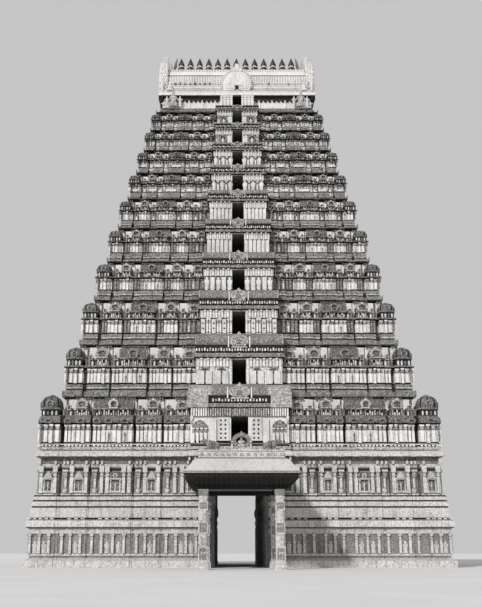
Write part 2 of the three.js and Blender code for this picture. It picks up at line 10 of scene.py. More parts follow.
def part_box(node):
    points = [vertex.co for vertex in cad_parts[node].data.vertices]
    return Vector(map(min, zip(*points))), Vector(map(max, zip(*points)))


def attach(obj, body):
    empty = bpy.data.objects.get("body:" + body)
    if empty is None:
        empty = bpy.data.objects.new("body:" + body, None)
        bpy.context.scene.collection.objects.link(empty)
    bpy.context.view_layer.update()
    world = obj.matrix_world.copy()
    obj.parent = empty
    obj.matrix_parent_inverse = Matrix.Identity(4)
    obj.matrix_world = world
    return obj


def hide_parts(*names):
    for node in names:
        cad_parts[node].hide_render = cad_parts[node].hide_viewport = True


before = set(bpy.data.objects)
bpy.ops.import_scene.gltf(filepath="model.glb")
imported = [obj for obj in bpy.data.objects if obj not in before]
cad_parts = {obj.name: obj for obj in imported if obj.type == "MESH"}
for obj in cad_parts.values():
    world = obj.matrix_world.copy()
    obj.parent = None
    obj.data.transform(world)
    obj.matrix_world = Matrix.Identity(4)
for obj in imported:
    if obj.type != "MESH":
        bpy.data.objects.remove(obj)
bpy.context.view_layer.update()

# A temple gateway tower of eleven tiers on a granite base, in metres of the half-size model.
# Shapes are written in metres of the real tower about its own vertical axis, front towards -Y.

bl_info = {
    "name": "Gopuram",
    "version": (1, 0, 0),
    "blender": (4, 5, 0),
    "location": "View3D > Sidebar > Gopuram",
    "description": "Dresses the frame of a temple gateway tower with its mouldings, shrines and figures",
    "category": "Add Mesh",
}

# Scale of the model, and where the tower's axis stands in it
SCALE = 0.5
AXIS_Y = 4.8
TIERS = 11

# Finishes, by number in each form
# The near-black finish is painted shade: it fills voids, hollows, slots, undersides and recesses.
PLASTER, AGED, CORNICE, ROOF, PAINTED_SHADE, FIGURE, ORNAMENT, LIME, GRANITE, DARK_GRANITE_AND_SHADE, SLOPE, COPPER = range(12)

Bay = namedtuple("Bay", "kind x0 x1 proud")

# Bays of half a front, from the centre block outwards: kind, and outer edge as a share
FRONT_BAYS = (
    ("end", 0.33), ("pavilion", 0.375), ("slot", 0.385),
    ("arch", 0.475), ("pavilion", 0.513), ("slot", 0.526),
    ("barrel", 0.686), ("pavilion", 0.727), ("slot", 0.737),
    ("arch", 0.832), ("pavilion", 0.867), ("slot", 0.887),
    ("corner", 1.0),
)
# Bays of half a side, up to the corner bay, which is as wide there as on the front
SIDE_BAYS = (
    ("barrel", 0.42), ("pavilion", 0.48), ("slot", 0.495),
    ("arch", 0.66), ("pavilion", 0.72), ("slot", 0.735),
    ("arch", 0.9), ("pavilion", 0.965), ("slot", 1.0),
)
BROAD = ("barrel", "arch", "corner", "end")
# How far the faces of these kinds stand back from the others
STEP_BACK = {"pavilion": -0.14, "slot": -0.42}
# How far a bay's edge may step in where its face does
EDGE_STEP = 0.05
CORNER_SHARE = 0.113
CENTRE_SHARE = 0.26


# Forms: faces held as arrays, in metres of the real tower

class Form:
    """Points, the corners of each face in turn, the size of each face and its finish."""

    def __init__(self, points, corners, sizes, finishes):
        self.points = np.asarray(points, float).reshape(-1, 3)
        self.corners = np.asarray(corners, np.int64)
        self.sizes = np.asarray(sizes, np.int64)
        self.finishes = np.asarray(finishes, np.int64)

    def placed(self, matrices):
        """The form under each 4 by 4 matrix; a mirroring one turns its faces round."""
        matrices = np.asarray(matrices, float).reshape(-1, 4, 4)
        mirrored = np.linalg.det(matrices[:, :3, :3]) < 0
        parts = []
        for group, step in ((matrices[~mirrored], 1), (matrices[mirrored], -1)):
            if not len(group):
                continue
            points = np.einsum("mij,pj->mpi", group[:, :3, :3], self.points) + group[:, None, :3, 3]
            offsets = np.arange(len(group))[:, None] * len(self.points)
            corners = (self.corners[::step][None] + offsets).ravel()
            parts.append(Form(
                points,
                corners,
                np.tile(self.sizes[::step], len(group)),
                np.tile(self.finishes[::step], len(group)),
            ))
        return joined(parts)

    def painted(self, finish):
        """The same form in one finish."""
        return Form(self.points, self.corners, self.sizes, np.full_like(self.finishes, finish))


def joined(forms):
    """One form from many."""
    forms = [form for form in forms if form is not None and len(form.sizes)]
    if not forms:
        return Form(np.zeros((0, 3)), [], [], [])
    starts = np.cumsum([0] + [len(form.points) for form in forms[:-1]])
    return Form(
        np.concatenate([form.points for form in forms]),
        np.concatenate([form.corners + start for form, start in zip(forms, starts)]),
        np.concatenate([form.sizes for form in forms]),
        np.concatenate([form.finishes for form in forms]),
    )


def loft(rings, finishes=PLASTER, closed=True, low_cap=False, high_cap=False):
    """A skin over rings of points that run anticlockwise seen from the last ring's side.

    Finishes is one number, one a band, or one a band and column.
    """
    rings = np.asarray(rings, float)
    bands, count = rings.shape[0] - 1, rings.shape[1]
    columns = count if closed else count - 1
    finishes = np.asarray(finishes)
    if finishes.ndim == 1:
        finishes = finishes[:, None]
    finishes = np.broadcast_to(finishes, (bands, columns))
    low = np.arange(bands)[:, None] * count
    here = np.arange(columns)[None]
    there = (here + 1) % count
    corners = np.stack([low + here, low + there, low + count + there, low + count + here], axis=-1)
    corners = corners.reshape(-1)
    sizes = [np.full(bands * columns, 4)]
    caps = []
    paints = [finishes.reshape(-1)]
    if low_cap:
        caps.append(np.arange(count)[::-1])
        paints.append([finishes[0, 0]])
    if high_cap:
        caps.append(np.arange(count) + bands * count)
        paints.append([finishes[-1, 0]])
    sizes += [[count]] * len(caps)
    return Form(rings, np.concatenate([corners] + caps), np.concatenate(sizes), np.concatenate(paints))


X, Y, Z = range(3)


def along(axis, outline, start, end, finishes=PLASTER, closed=True):
    """Pairs in the other two axes drawn out along one: a closed block with ends, or an open skin.

    The pairs run anticlockwise seen from the end.
    """
    rings = [np.insert(np.array(outline, float), axis, place, axis=1) for place in (start, end)]
    return loft(rings, np.atleast_2d(finishes), closed, closed, closed)


def box(xs, ys, zs, finish=PLASTER):
    """A closed block between two values along each axis."""
    plan = [(xs[0], ys[0]), (xs[1], ys[0]), (xs[1], ys[1]), (xs[0], ys[1])]
    return along(Z, plan, *zs, finish)


def strip(section, x0, x1, finishes):
    """An open skin along X on a section of (y, z) pairs that runs from the front over the top."""
    return along(X, section[::-1], x0, x1, finishes if np.ndim(finishes) == 0 else finishes[::-1], False)


def turned(profile, steps, finishes=PLASTER, squareness=0.0, flatness=1.0):
    """A body of revolution about Z from (radius, z) pairs; squareness pushes it towards a square plan."""
    angles = (np.arange(steps) + 0.5) / steps * 2 * math.pi
    cosines, sines = np.cos(angles), np.sin(angles)
    reach = 1 / np.maximum(np.abs(cosines), np.abs(sines))
    reach = 1 + squareness * (reach - 1)
    rings = [
        np.stack([radius * reach * cosines, radius * reach * sines * flatness, np.full(steps, z)], axis=1)
        for radius, z in profile
    ]
    return loft(rings, finishes, low_cap=True, high_cap=True)


def relief(levels, finishes=PLASTER, depth=1.0, sides=None):
    """A shaft standing out of a wall at y=0, from (half-width, z) pairs, open at its back."""
    rings = [[(-w, 0, z), (-w, -2 * w * depth, z), (w, -2 * w * depth, z), (w, 0, z)] for w, z in levels]
    paints = np.array(np.broadcast_to(np.atleast_1d(finishes)[:, None], (len(levels) - 1, 3)))
    # The flanks can take a darker finish, painted as shade
    if sides is not None:
        paints[:, [0, 2]] = sides
    return loft(rings, paints, closed=False, high_cap=True)


def mirrored(right):
    """An outline from its right half."""
    return right + [(-across, up) for across, up in reversed(right)]


def spread(start, end, count):
    """The middles of equal steps between two values."""
    return start + (np.arange(count) + 0.5) * (end - start) / count


def at(x=0.0, y=0.0, z=0.0, width=1.0, depth=None, height=None, turn=0.0):
    """A placing matrix: scale, then a turn about Z, then a move."""
    depth = width if depth is None else depth
    height = width if height is None else height
    cosine, sine = math.cos(turn), math.sin(turn)
    return np.array([
        [cosine * width, -sine * depth, 0, x],
        [sine * width, cosine * depth, 0, y],
        [0, 0, height, z],
        [0, 0, 0, 1],
    ])


FRONT = np.eye(4)
SIDE = np.array([[0, -1, 0, 0], [-1, 0, 0, 0], [0, 0, 1, 0], [0, 0, 0, 1.0]])
QUARTERS = [np.diag([sx, sy, 1, 1.0]) for sx in (1, -1) for sy in (1, -1)]
FRONT_AND_BACK = QUARTERS[:2]
LEFT_AND_RIGHT = QUARTERS[::2]
HALVES = [np.diag([sx, 1, 1, 1.0]) for sx in (1, -1)]


def spin(angle, axis):
    """A turn about one of the axes."""
    return np.array(Matrix.Rotation(angle, 4, axis))


# Templates of unit height, which each place scales to its own size

def pilaster(shaft=PLASTER, capital=ORNAMENT, sides=CORNICE):
    """A wall pilaster of unit height with a pot, a disc and a bracket, its capital painted greyer and its
    flanks darker, both as shade.
    """
    levels = [
        (0.5, 0.0), (0.5, 0.04), (0.42, 0.06), (0.41, 0.65), (0.28, 0.7), (0.46, 0.76), (0.28, 0.84),
        (0.56, 0.91), (0.56, 1.0),
    ]
    return relief(levels, [shaft] * 3 + [capital] * 3 + [shaft] * 2, sides=sides)


def pot_pilaster(shaft=PLASTER, capital=ORNAMENT, sides=CORNICE):
    """A pilaster that rises from a round pot."""
    pot = turned([(0.3, 0.0), (0.5, 0.08), (0.5, 0.16), (0.24, 0.23), (0.36, 0.26)], 8, shaft)
    # Its capital is painted greyer and its flanks darker, both as shade
    levels = [
        (0.2, 0.24), (0.2, 0.66), (0.34, 0.7), (0.24, 0.73), (0.42, 0.8), (0.24, 0.87), (0.5, 0.93),
        (0.5, 1.0),
    ]
    return joined([pot, relief(levels, [shaft] * 2 + [capital] * 3 + [shaft] * 2, sides=sides)])


def figure(finish=FIGURE, steps=6, seated=False):
    """A generic standing or seated figure with a tall crown."""
    if seated:
        profile = [
            (0.42, 0), (0.46, 0.1), (0.34, 0.22), (0.2, 0.3), (0.27, 0.52), (0.22, 0.62), (0.09, 0.66),
            (0.13, 0.74), (0.12, 0.82), (0.07, 0.9), (0.02, 1.0),
        ]
        arm = [(0.26, -0.02, 0.58), (0.36, -0.06, 0.4), (0.2, -0.26, 0.3)]
    else:
        profile = [
            (0.13, 0), (0.11, 0.2), (0.14, 0.36), (0.18, 0.46), (0.12, 0.54), (0.17, 0.68), (0.15, 0.76),
            (0.05, 0.79), (0.075, 0.84), (0.07, 0.89), (0.055, 0.93), (0.015, 1.0),
        ]
        arm = [(0.17, 0.0, 0.74), (0.25, -0.03, 0.58), (0.17, -0.16, 0.52)]
    thick = 0.035
    square = [(-thick, -thick), (thick, -thick), (thick, thick), (-thick, thick)]
    tube = [[(x + dx, y + dy, z) for dx, dy in square] for x, y, z in reversed(arm)]
    limb = loft(tube, finish, low_cap=True, high_cap=True)
    return joined([turned(profile, steps, finish, flatness=0.75), limb.placed(HALVES)])


def small_figure(finish=FIGURE):
    """A figure that stands too high up for its arms to show."""
    profile = [(0.21, 0), (0.17, 0.36), (0.27, 0.7), (0.08, 0.79), (0.14, 0.86), (0.02, 1.0)]
    return turned(profile, 5, finish, flatness=0.8)


def horseshoe(rim=ORNAMENT, inside=PAINTED_SHADE, steps=9, crest=True, outside=CORNICE):
    """An arch of unit size that looks out to -Y over a hollow, with a groove and crest or with neither."""
    lowest = -0.3 * math.pi
    profile = [(0.25, -0.35), (0.29, -1.0), (0.5, -0.9), (0.5, 0)]
    # The hollow inside the arch takes a dark finish, painted as shade
    paints = [inside, rim, outside]
    if crest:
        profile[2:2] = [(0.36, -0.85), (0.4, -0.98)]
        paints[2:2] = [outside, rim]
    rings = []
    for angle in np.linspace(lowest, math.pi - lowest, steps):
        across, up = math.cos(angle), 0.86 * math.sin(angle)
        rings.append([(radius * across, y, 0.42 + radius * up) for radius, y in profile])
    hollow = Form([ring[0] for ring in rings], np.arange(steps), [steps], [inside])
    parts = [loft(rings, [paints], closed=False), hollow, box((-0.42, 0.42), (-0.9, 0), (-0.02, 0.08), rim)]
    if crest:
        leaf = [(-0.14, 0.8), (0.14, 0.8), (0.09, 0.9), (0, 1.04), (-0.09, 0.9)]
        parts.append(along(Y, leaf, -0.3, -0.9, rim))
    return joined(parts)


def stupi(finish=ROOF):
    """The small pot finial of a shrine."""
    profile = [(0.2, 0), (0.42, 0.3), (0.32, 0.5), (0.14, 0.58), (0.24, 0.66), (0.02, 1.0)]
    return turned(profile, 5, finish)


def ribbed_dome(ribs=9, finish=ROOF):
    """A dome of unit half-width on a square plan, with ribs and a lotus at its crown."""
    profile = [
        (0.9, 0), (1.12, 0.04), (1.12, 0.1), (0.94, 0.14), (1.04, 0.26), (1.06, 0.42), (0.99, 0.58),
        (0.8, 0.74), (0.5, 0.86), (0.3, 0.89), (0.32, 0.92), (0.12, 0.94), (0.16, 0.97), (0.02, 1.0),
    ]
    part = np.arange(4 * ribs) % 4
    angles = np.arange(4 * ribs) / (4 * ribs) * 2 * math.pi
    cosines, sines = np.cos(angles), np.sin(angles)
    reach = 1 + 0.45 * (1 / np.maximum(np.abs(cosines), np.abs(sines)) - 1)
    rings = []
    for index, (radius, z) in enumerate(profile):
        groove = 0.93 if 4 <= index <= 8 else 1.0
        across = radius * reach * np.where(part < 2, 1.0, groove)
        rings.append(np.stack([across * cosines, across * sines, np.full(len(part), z)], 1))
    finishes = np.full((len(profile) - 1, len(part)), CORNICE)
    # Grooves between the ribs painted black as shade
    finishes[3:8] = np.where(part == 2, PAINTED_SHADE, finish)
    return loft(rings, finishes, high_cap=True)


BARREL_SECTION = (
    (-0.98, 0.0), (-1.12, 0.05), (-1.1, 0.13), (-0.92, 0.18), (-1.0, 0.3), (-1.0, 0.46),
    (-0.9, 0.62), (-0.68, 0.76), (-0.3, 0.86), (0.5, 0.88), (0.9, 0.4), (0.9, 0.0),
)


def barrel_roof(half, depth, height, spacing):
    """A barrel roof along X on a shrine, `half` long to each side, with ribs, end gables and finials."""
    section = [(y * depth / 2, z * height) for y, z in BARREL_SECTION]
    taper = [(y, z) if z < 0.2 * height else (0.94 * y, z) for y, z in section]
    inner = half - 0.04 * height
    waist = inner - 0.3 * height
    rings = []
    for x, points in ((-inner, taper), (-waist, section), (waist, section), (inner, taper)):
        rings.append([(x * (1 - 0.1 * (z / height) ** 2), y, z) for y, z in reversed(points)])
    # The underside of the roof is painted black as shade
    paints = [ROOF] * 8 + [CORNICE] * 3 + [PAINTED_SHADE]
    parts = [loft(rings, [paints], low_cap=True, high_cap=True)]
    raised = [(1.04 * y * depth / 2, (z + 0.02) * height) for y, z in BARREL_SECTION[3:9]]
    rib = strip(raised, -0.16 * spacing, 0.16 * spacing, ROOF)
    parts.append(rib.placed([at(x) for x in spread(-inner, inner, max(3, int(2 * inner / spacing)))]))
    gable = [(y * 1.06, z) for y, z in section[3:9]]
    gable += [(0.45 * depth, 0.6 * height), (0.55 * depth, 0.18 * height)]
    plate = along(X, gable[::-1], -0.05 * height, 0.05 * height, CORNICE)
    parts.append(plate.placed([at(side * inner) for side in (-1, 1)]))
    finials = spread(-inner, inner, max(3, int(2 * inner / (0.62 * height))))
    crown = [at(x, -0.05 * depth, 0.85 * height, 0.18 * height, height=0.16 * height) for x in finials]
    parts.append(stupi(ROOF).placed(crown))
    return joined(parts)


def arch_roof(half, depth, height):
    """The horseshoe roof that faces out over a narrow bay."""
    shares = (
        (0.84, 0), (1.0, 0.06), (0.98, 0.12), (0.84, 0.16), (0.98, 0.34), (0.94, 0.56), (0.7, 0.78),
        (0.3, 0.92),
    )
    points = mirrored([(x * half, z * height) for x, z in shares])
    # The underside of the roof is painted black as shade
    body = along(Y, points, depth, 0.06, [CORNICE] * 3 + [ROOF] * 9 + [CORNICE] * 3 + [PAINTED_SHADE])
    spot = at(0, 0.1, 0.12 * height, 1.9 * half, 0.24, 0.8 * height)
    crest = stupi(ROOF).placed(at(0, 0.25, 0.88 * height, 0.16 * height, height=0.16 * height))
    return joined([body, RING_NASI.placed(spot), crest])


# The plan of a storey's outer face

def bays_of(table, start, reach, corner=None):
    """Bays in metres from a table of shares of `reach`, from `start` out to the corner."""
    bays = []
    for kind, share in table:
        bays.append(Bay(kind, start, share * reach, STEP_BACK.get(kind, 0.0)))
        start = share * reach
    if corner is not None:
        bays.append(Bay("corner", start, corner, 0.0))
    return bays


def outline(bays, depth, out, slot_depth, narrow=0.18):
    """Points of half a side's plan from its middle outwards, `out` metres outside the bay faces.

    `narrow` is the share of a slot's width that each of its sides takes up.
    """
    prouds = [bay.proud if bay.kind != "slot" else -slot_depth for bay in bays]
    points = [(bays[0].x0, -(depth + prouds[0] + out))]
    for index in range(len(bays) - 1):
        left, right = bays[index], bays[index + 1]
        higher = prouds[index] > prouds[index + 1]
        lower_bay = right if higher else left
        limit = 0.36 * (lower_bay.x1 - lower_bay.x0)
        least = narrow * (lower_bay.x1 - lower_bay.x0) if lower_bay.kind == "slot" else -EDGE_STEP
        step = max(least, min(limit, out))
        x = left.x1 + (step if higher else -step)
        points.append((x, -(depth + prouds[index] + out)))
        points.append((x, -(depth + prouds[index + 1] + out)))
    points.append((bays[-1].x1 + out, -(depth + out)))
    return points


def courses(bays, depth, levels, slot_depth=-STEP_BACK["slot"], paints=None, narrow=0.18):
    """Mouldings along half a side from (z, out, finish) levels; a finish covers the band above its level.

    `paints` gives a finish of its own to every bay of a kind.
    """
    rings = [[(x, y, z) for x, y in outline(bays, depth, out, slot_depth, narrow)] for z, out, _ in levels]
    finishes = np.repeat([[finish] for _, _, finish in levels[:-1]], len(rings[0]) - 1, axis=1)
    for index, bay in enumerate(bays):
        if paints and bay.kind in paints:
            finishes[:, 2 * index] = np.where(finishes[:, 2 * index] == PAINTED_SHADE, PAINTED_SHADE, paints[bay.kind])
    return loft(rings, finishes, closed=False)


def centred_courses(start, half, depth, back, levels):
    """Mouldings round the middle block of a front: its face from `start` outwards, then its return."""
    rings = []
    for z, out, _ in levels:
        rings.append([(start, -(depth + out), z), (half + out, -(depth + out), z), (half + out, -back, z)])
    return loft(rings, [finish for _, _, finish in levels[:-1]], closed=False)


def row(bays, depth, out, z, spacing, size, kinds=None, margin=0.0):
    """Places along the faces of half a side's bays, at about the given spacing."""
    places = []
    for bay in bays:
        if bay.kind == "slot" or (kinds and bay.kind not in kinds):
            continue
        start, end = bay.x0 + margin, bay.x1 - margin
        for x in spread(start, end, max(1, round((end - start) / spacing))):
            places.append(at(x, -(depth + bay.proud + out), z, *size))
    return places


class Storey:
    """Sizes of one tier, read from the frame and given in metres of the real tower."""

    def __init__(self, number):
        low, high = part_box("base_cornice" if number == 1 else f"tier_{number:02d}_floor")
        self.number = number
        self.aged = number > YOUNG_TIERS
        self.floor = FIRST_FLOOR if number == 1 else low.z / SCALE
        self.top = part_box(f"tier_{number:02d}_wall")[1].z / SCALE
        self.height = self.top - self.floor
        self.size = self.height / FIRST_HEIGHT
        self.half_width = (high.x - low.x) / 2 / SCALE
        self.half_depth = self.half_width - SIDE_SETBACK
        self.slab_top = high.z / SCALE
        self.centre = CENTRE_SHARE * self.half_width if number < TIERS else TOP_CENTRE
        self.proud = FIRST_CENTRE_PROUD if number == 1 else CENTRE_PROUD
        self.corner = CORNER_SHARE * self.half_width
        self.room_half = 11.5 - 0.39 * (number - 1)
        self.room_depth = 5.5 - 0.33 * (number - 1)
        self.door_half = (1.7 if number == 1 else 1.42 - 0.035 * (number - 2)) / 2
        door_share = DOOR_SHARE + DOOR_STEP * (number - 1)
        self.door_height = door_share * self.height
        # Levels as shares of the height: foot, shelf, neck and roof of the shrines, then the centre's
        above = number - 2
        self.foot_share = min(0.13, 0.062 + 0.016 * above)
        self.shelf_share = min(0.61, 0.55 + 0.012 * above)
        self.neck_share = self.shelf_share + 0.05
        self.roof_share = min(0.75, 0.705 + 0.01 * above)
        self.edge_share = 0.012 * (number - 1)
        self.wall_top_share, self.crest_share = SLAB_SHARE + door_share + 0.03, 0.237
        if number == 1:
            self.foot_share, self.shelf_share, self.neck_share, self.roof_share = 0.03, 0.535, 0.672, 0.755
            self.wall_top_share, self.crest_share = 0.762, 0.2
        self.front = bays_of(FRONT_BAYS, self.centre - 0.4, self.half_width)
        self.side = bays_of(SIDE_BAYS, 0.0, self.half_depth - self.corner, self.half_depth)

    def level(self, share):
        return self.floor + share * self.height

    def faces(self):
        """Both half sides of a quarter: bays, distance of the face from the axis, and their frame."""
        return ((self.front, self.half_depth, FRONT), (self.side, self.half_width, SIDE))


FIRST_FLOOR = 10.5
FIRST_HEIGHT = 6.4
SIDE_SETBACK = 5.6
CENTRE_PROUD = 0.8
FIRST_CENTRE_PROUD = 0.45
TOP_CENTRE = 2.1
WALL_SET = 0.35
YOUNG_TIERS = 6
SLAB_SHARE = 0.22
SHRINE_TOP_SHARE = 0.96
DOOR_SHARE = 0.417
DOOR_STEP = 0.023
TOP_DOOR_SHARE = 0.7


class Work:
    """Gathers forms for one object, each placed round the tower."""

    def __init__(self):
        self.forms = []

    def add(self, form, places=None, matrix=FRONT, copies=QUARTERS):
        """Adds a form at one or more places in a half side's own frame, repeated in every quarter."""
        if places is not None:
            form = form.placed(places)
        self.forms.append(form.placed([copy @ matrix for copy in copies]))

    def both(self, form, places=None):
        """Adds a form to the front and the back."""
        self.add(form, places, copies=FRONT_AND_BACK)

    def once(self, form, places=None):
        """Adds a form as it stands."""
        self.add(form, places, copies=[FRONT])

    def make(self, node, slot_name, smooth_angle=35.0):
        """Makes the object, in place of the frame's node that it stands for."""
        name = f"dressed_{node}"
        form = joined(self.forms)
        mesh = bpy.data.meshes.new(name)
        mesh.vertices.add(len(form.points))
        points = (form.points + (0, AXIS_Y, 0)) * SCALE
        mesh.vertices.foreach_set("co", points.astype(np.float32).ravel())
        mesh.loops.add(len(form.corners))
        mesh.loops.foreach_set("vertex_index", form.corners.astype(np.int32))
        starts = np.concatenate([[0], np.cumsum(form.sizes)[:-1]]).astype(np.int32)
        mesh.polygons.add(len(form.sizes))
        mesh.polygons.foreach_set("loop_start", starts)
        used = sorted(set(form.finishes.tolist()))
        for finish in used:
            mesh.materials.append(finish_material(finish))
        lookup = np.zeros(max(used) + 1, np.int32)
        lookup[used] = np.arange(len(used))
        mesh.polygons.foreach_set("material_index", lookup[form.finishes])
        mesh.update(calc_edges=True)
        mesh.validate()
        mesh.set_sharp_from_angle(angle=math.radians(smooth_angle))
        piece = bpy.data.objects.new(name, mesh)
        bpy.context.scene.collection.objects.link(piece)
        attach(piece, "root")
        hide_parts(node)


# Shader nodes

class Socket:
    """A shader output that takes part in sums; each operation wires up a Math node."""

    def __init__(self, shader, output):
        self.shader = shader
        self.output = output

    def __add__(self, other):
        return self.shader.math("ADD", self, other)

    def __rsub__(self, other):
        return self.shader.math("SUBTRACT", other, self)

    def __mul__(self, other):
        return self.shader.math("MULTIPLY", self, other)

    __radd__ = __add__
    __rmul__ = __mul__


class Shader:
    """A material's node tree, built through one method a node."""

    def __init__(self, name):
        self.material = bpy.data.materials.new(name)
        self.material.use_nodes = True
        self.tree = self.material.node_tree
        self.tree.nodes.clear()

    def node(self, kind, settings=None, inputs=None, output=0):
        """Makes a node: its type, its settings, then its inputs by name or number."""
        made = self.tree.nodes.new(kind)
        for key, value in (settings or {}).items():
            setattr(made, key, value)
        for key, value in (inputs or {}).items():
            if isinstance(value, Socket):
                self.tree.links.new(value.output, made.inputs[key])
            else:
                made.inputs[key].default_value = value
        return Socket(self, made.outputs[output]) if made.outputs else None

    def math(self, operation, first, second):
        return self.node("ShaderNodeMath", {"operation": operation}, {0: first, 1: second})

    def mix(self, factor, first, second):
        """Blends two colours."""
        return self.node("ShaderNodeMix", {"data_type": "RGBA"}, {0: factor, 6: first, 7: second}, 2)

    def place(self):
        """Where a point lies on the model, in metres."""
        return self.node("ShaderNodeTexCoord", output="Object")

    def stretched(self, scale):
        """Places multiplied by a vector."""
        return self.node("ShaderNodeVectorMath", {"operation": "MULTIPLY"}, {0: self.place(), 1: scale})

    def noise(self, scale, detail=4.0, stretch=(1, 1, 1), roughness=0.6):
        settings = {"noise_dimensions": "3D"}
        inputs = {"Vector": self.stretched(stretch), "Scale": scale, "Detail": detail, "Roughness": roughness}
        return self.node("ShaderNodeTexNoise", settings, inputs, "Fac")

    def ramp(self, value, low, high):
        """Zero under `low`, one over `high`, smooth between."""
        settings = {"interpolation_type": "SMOOTHSTEP"}
        return self.node("ShaderNodeMapRange", settings, {"Value": value, "From Min": low, "From Max": high})

    def upness(self):
        """How far a face looks up, from -1 to 1."""
        normal = self.node("ShaderNodeNewGeometry", output="Normal")
        return self.node("ShaderNodeSeparateXYZ", inputs={0: normal}, output="Z")

    def finish(self, colour, roughness, height, strength, distance=0.02, metallic=0.0):
        """Ends the tree with a Principled surface and a bump."""
        bump = self.node(
            "ShaderNodeBump", inputs={"Height": height, "Strength": strength, "Distance": distance})
        inputs = {"Base Color": colour, "Roughness": roughness, "Normal": bump, "Metallic": metallic}
        surface = self.node("ShaderNodeBsdfPrincipled", inputs=inputs)
        self.node("ShaderNodeOutputMaterial", inputs={"Surface": surface})
        return self.material


def grey(value, warmth=1.03):
    """A neutral, slightly warm grey."""
    return (value * warmth, value, value / warmth, 1.0)


def weathered(name, light, dark, growth, streaks, patches, grain, carving=0.0, facing=0.55):
    """Plaster or stone: two tones in patches, rain streaks, fine grain and dark growth on its ledges.

    Carving paints light spots as highlights on raised bits and dark spots as painted shade between them, in
    the colour only.
    """
    shader = Shader(name)
    broad = shader.ramp(shader.noise(0.9, 5.0), 0.38, 0.66)
    fine = shader.noise(7.0, 6.0)
    blotches = shader.ramp(fine, 0.46, 0.68)
    runs = shader.ramp(shader.noise(5.0, 4.0, (1, 1, 0.14)), 0.5, 0.72)
    threads = shader.ramp(shader.noise(15.0, 3.0, (1, 1, 0.08)), 0.48, 0.66)
    speckle = shader.ramp(shader.noise(38.0, 3.0), 0.35, 0.7)
    dirt = broad * patches * 0.6 + blotches * patches * 0.5 + runs * streaks + threads * streaks * 0.7
    stained = shader.mix(shader.math("MINIMUM", dirt, 1.0), grey(light), grey(dark))
    grained = shader.mix(speckle * grain, stained, grey(dark * 0.7))
    if carving:
        # Painted highlight and painted shade for carving: light spots where raised bits would catch the
        # light, dark spots where the hollows between them would be in shade
        relief_light_noise = shader.noise(13.5, 2.0, roughness=0.6)
        raised = shader.ramp(relief_light_noise, 0.54, 0.6)
        painted_pit_shade = 1.0 - shader.ramp(relief_light_noise, 0.4, 0.46)
        grained = shader.mix(raised * carving, grained, grey(min(0.8, light * 2.0)))
        grained = shader.mix(painted_pit_shade * carving, grained, grey(dark * 0.4))
    ledge = shader.ramp(shader.upness(), 0.25, 0.85) * facing
    cover = ledge * (0.55 + 0.45 * blotches)
    colour = shader.mix(shader.math("MINIMUM", cover, 1.0), grained, grey(growth))
    height = fine * 0.7 + shader.noise(24.0, 4.0) * 0.3
    return shader.finish(colour, 0.88 + 0.08 * speckle, height, 0.55, 0.03)


def copper_material():
    """Tarnished copper: dark brown with dull bright rubs."""
    shader = Shader("tarnished_copper")
    wear = shader.ramp(shader.noise(6.0, 5.0), 0.5, 0.75)
    runs = shader.ramp(shader.noise(8.0, 3.0, (1, 1, 0.2)), 0.45, 0.7)
    colour = shader.mix(wear, grey(0.035, 1.1), grey(0.1, 1.12))
    colour = shader.mix(runs * 0.5, colour, grey(0.05, 0.97))
    return shader.finish(colour, 0.42 + 0.3 * wear, shader.noise(14.0, 4.0), 0.25, 0.01, 0.55)


# Name, light and dark tone, tone of the growth, streaks, patches, grain, strength of the painted carving
# highlights and shade, growth on ledges
FINISHES = {
    PLASTER: ("limewashed_plaster", 0.84, 0.4, 0.14, 0.3, 0.4, 0.16, 0.35),
    AGED: ("aged_plaster", 0.58, 0.12, 0.07, 0.5, 0.7, 0.3, 0.85),
    # Grey cornice plaster, also painted as shade on the flanks of pilasters and in the upper part of the
    # lowest tiers' walls
    CORNICE: ("cornice_plaster", 0.24, 0.09, 0.08, 0.5, 0.6, 0.3, 0.5),
    # Dark roof plaster, its own colour on the shrine roofs, and painted as shade in slots, hollows, the base
    # niches and under the base cornice
    ROOF: ("shrine_roof_plaster", 0.17, 0.06, 0.05, 0.4, 0.7, 0.35, 0.6),
    # Near black: painted shade for voids, hollows, slots, undersides and recesses
    PAINTED_SHADE: ("shaded_plaster", 0.018, 0.006, 0.008, 0.3, 0.8, 0.3),
    FIGURE: ("figure_plaster", 0.78, 0.32, 0.18, 0.3, 0.6, 0.25),
    # Mid-grey moulded plaster, also painted as shade on pilaster capitals and in the upper part of the middle
    # tiers' walls
    ORNAMENT: ("moulded_plaster", 0.44, 0.17, 0.12, 0.4, 0.6, 0.3, 0.5),
    LIME: ("fresh_limewash", 0.74, 0.42, 0.36, 0.3, 0.4, 0.16, 0.0, 0.3),
    GRANITE: ("cut_granite", 0.66, 0.3, 0.2, 0.5, 0.5, 0.35, 0.35),
    # Darker granite, its own colour on the bulls, and painted as the shade in recesses, on flanks, in the
    # gate passage and on the porch capitals
    DARK_GRANITE_AND_SHADE: ("dark_granite_and_shade", 0.28, 0.13, 0.1, 0.4, 0.6, 0.45, 0.25),
    SLOPE: ("smooth_granite", 0.56, 0.32, 0.5, 0.6, 0.4, 0.25, 0.0, 0.7),
}
MATERIALS = {}


def finish_material(finish):
    """The material of a finish, made at its first use; the settings hold the tones of the main two."""
    if finish not in MATERIALS:
        if finish == COPPER:
            MATERIALS[finish] = copper_material()
        else:
            name, light, *rest = FINISHES[finish]
            settings = bpy.context.scene.gopuram
            light = {PLASTER: settings.limewash, GRANITE: settings.granite}.get(finish, light)
            MATERIALS[finish] = weathered(name, light, *rest)
    return MATERIALS[finish]


# Tiers

def kapota(bottom, rise, lip=0.0, root=-0.35, finish=CORNICE, under=PAINTED_SHADE):
    """Levels of a rolled cornice: an underside painted dark as shade, a lip and a slope that curves back."""
    levels = [(bottom, root, under)]
    for share, back in ((0.04, 0.02), (0.22, 0), (0.45, 0.03), (0.68, 0.11), (0.86, 0.22)):
        levels.append((bottom + share * rise, lip - back, finish))
    return levels + [(bottom + rise, root, finish)]


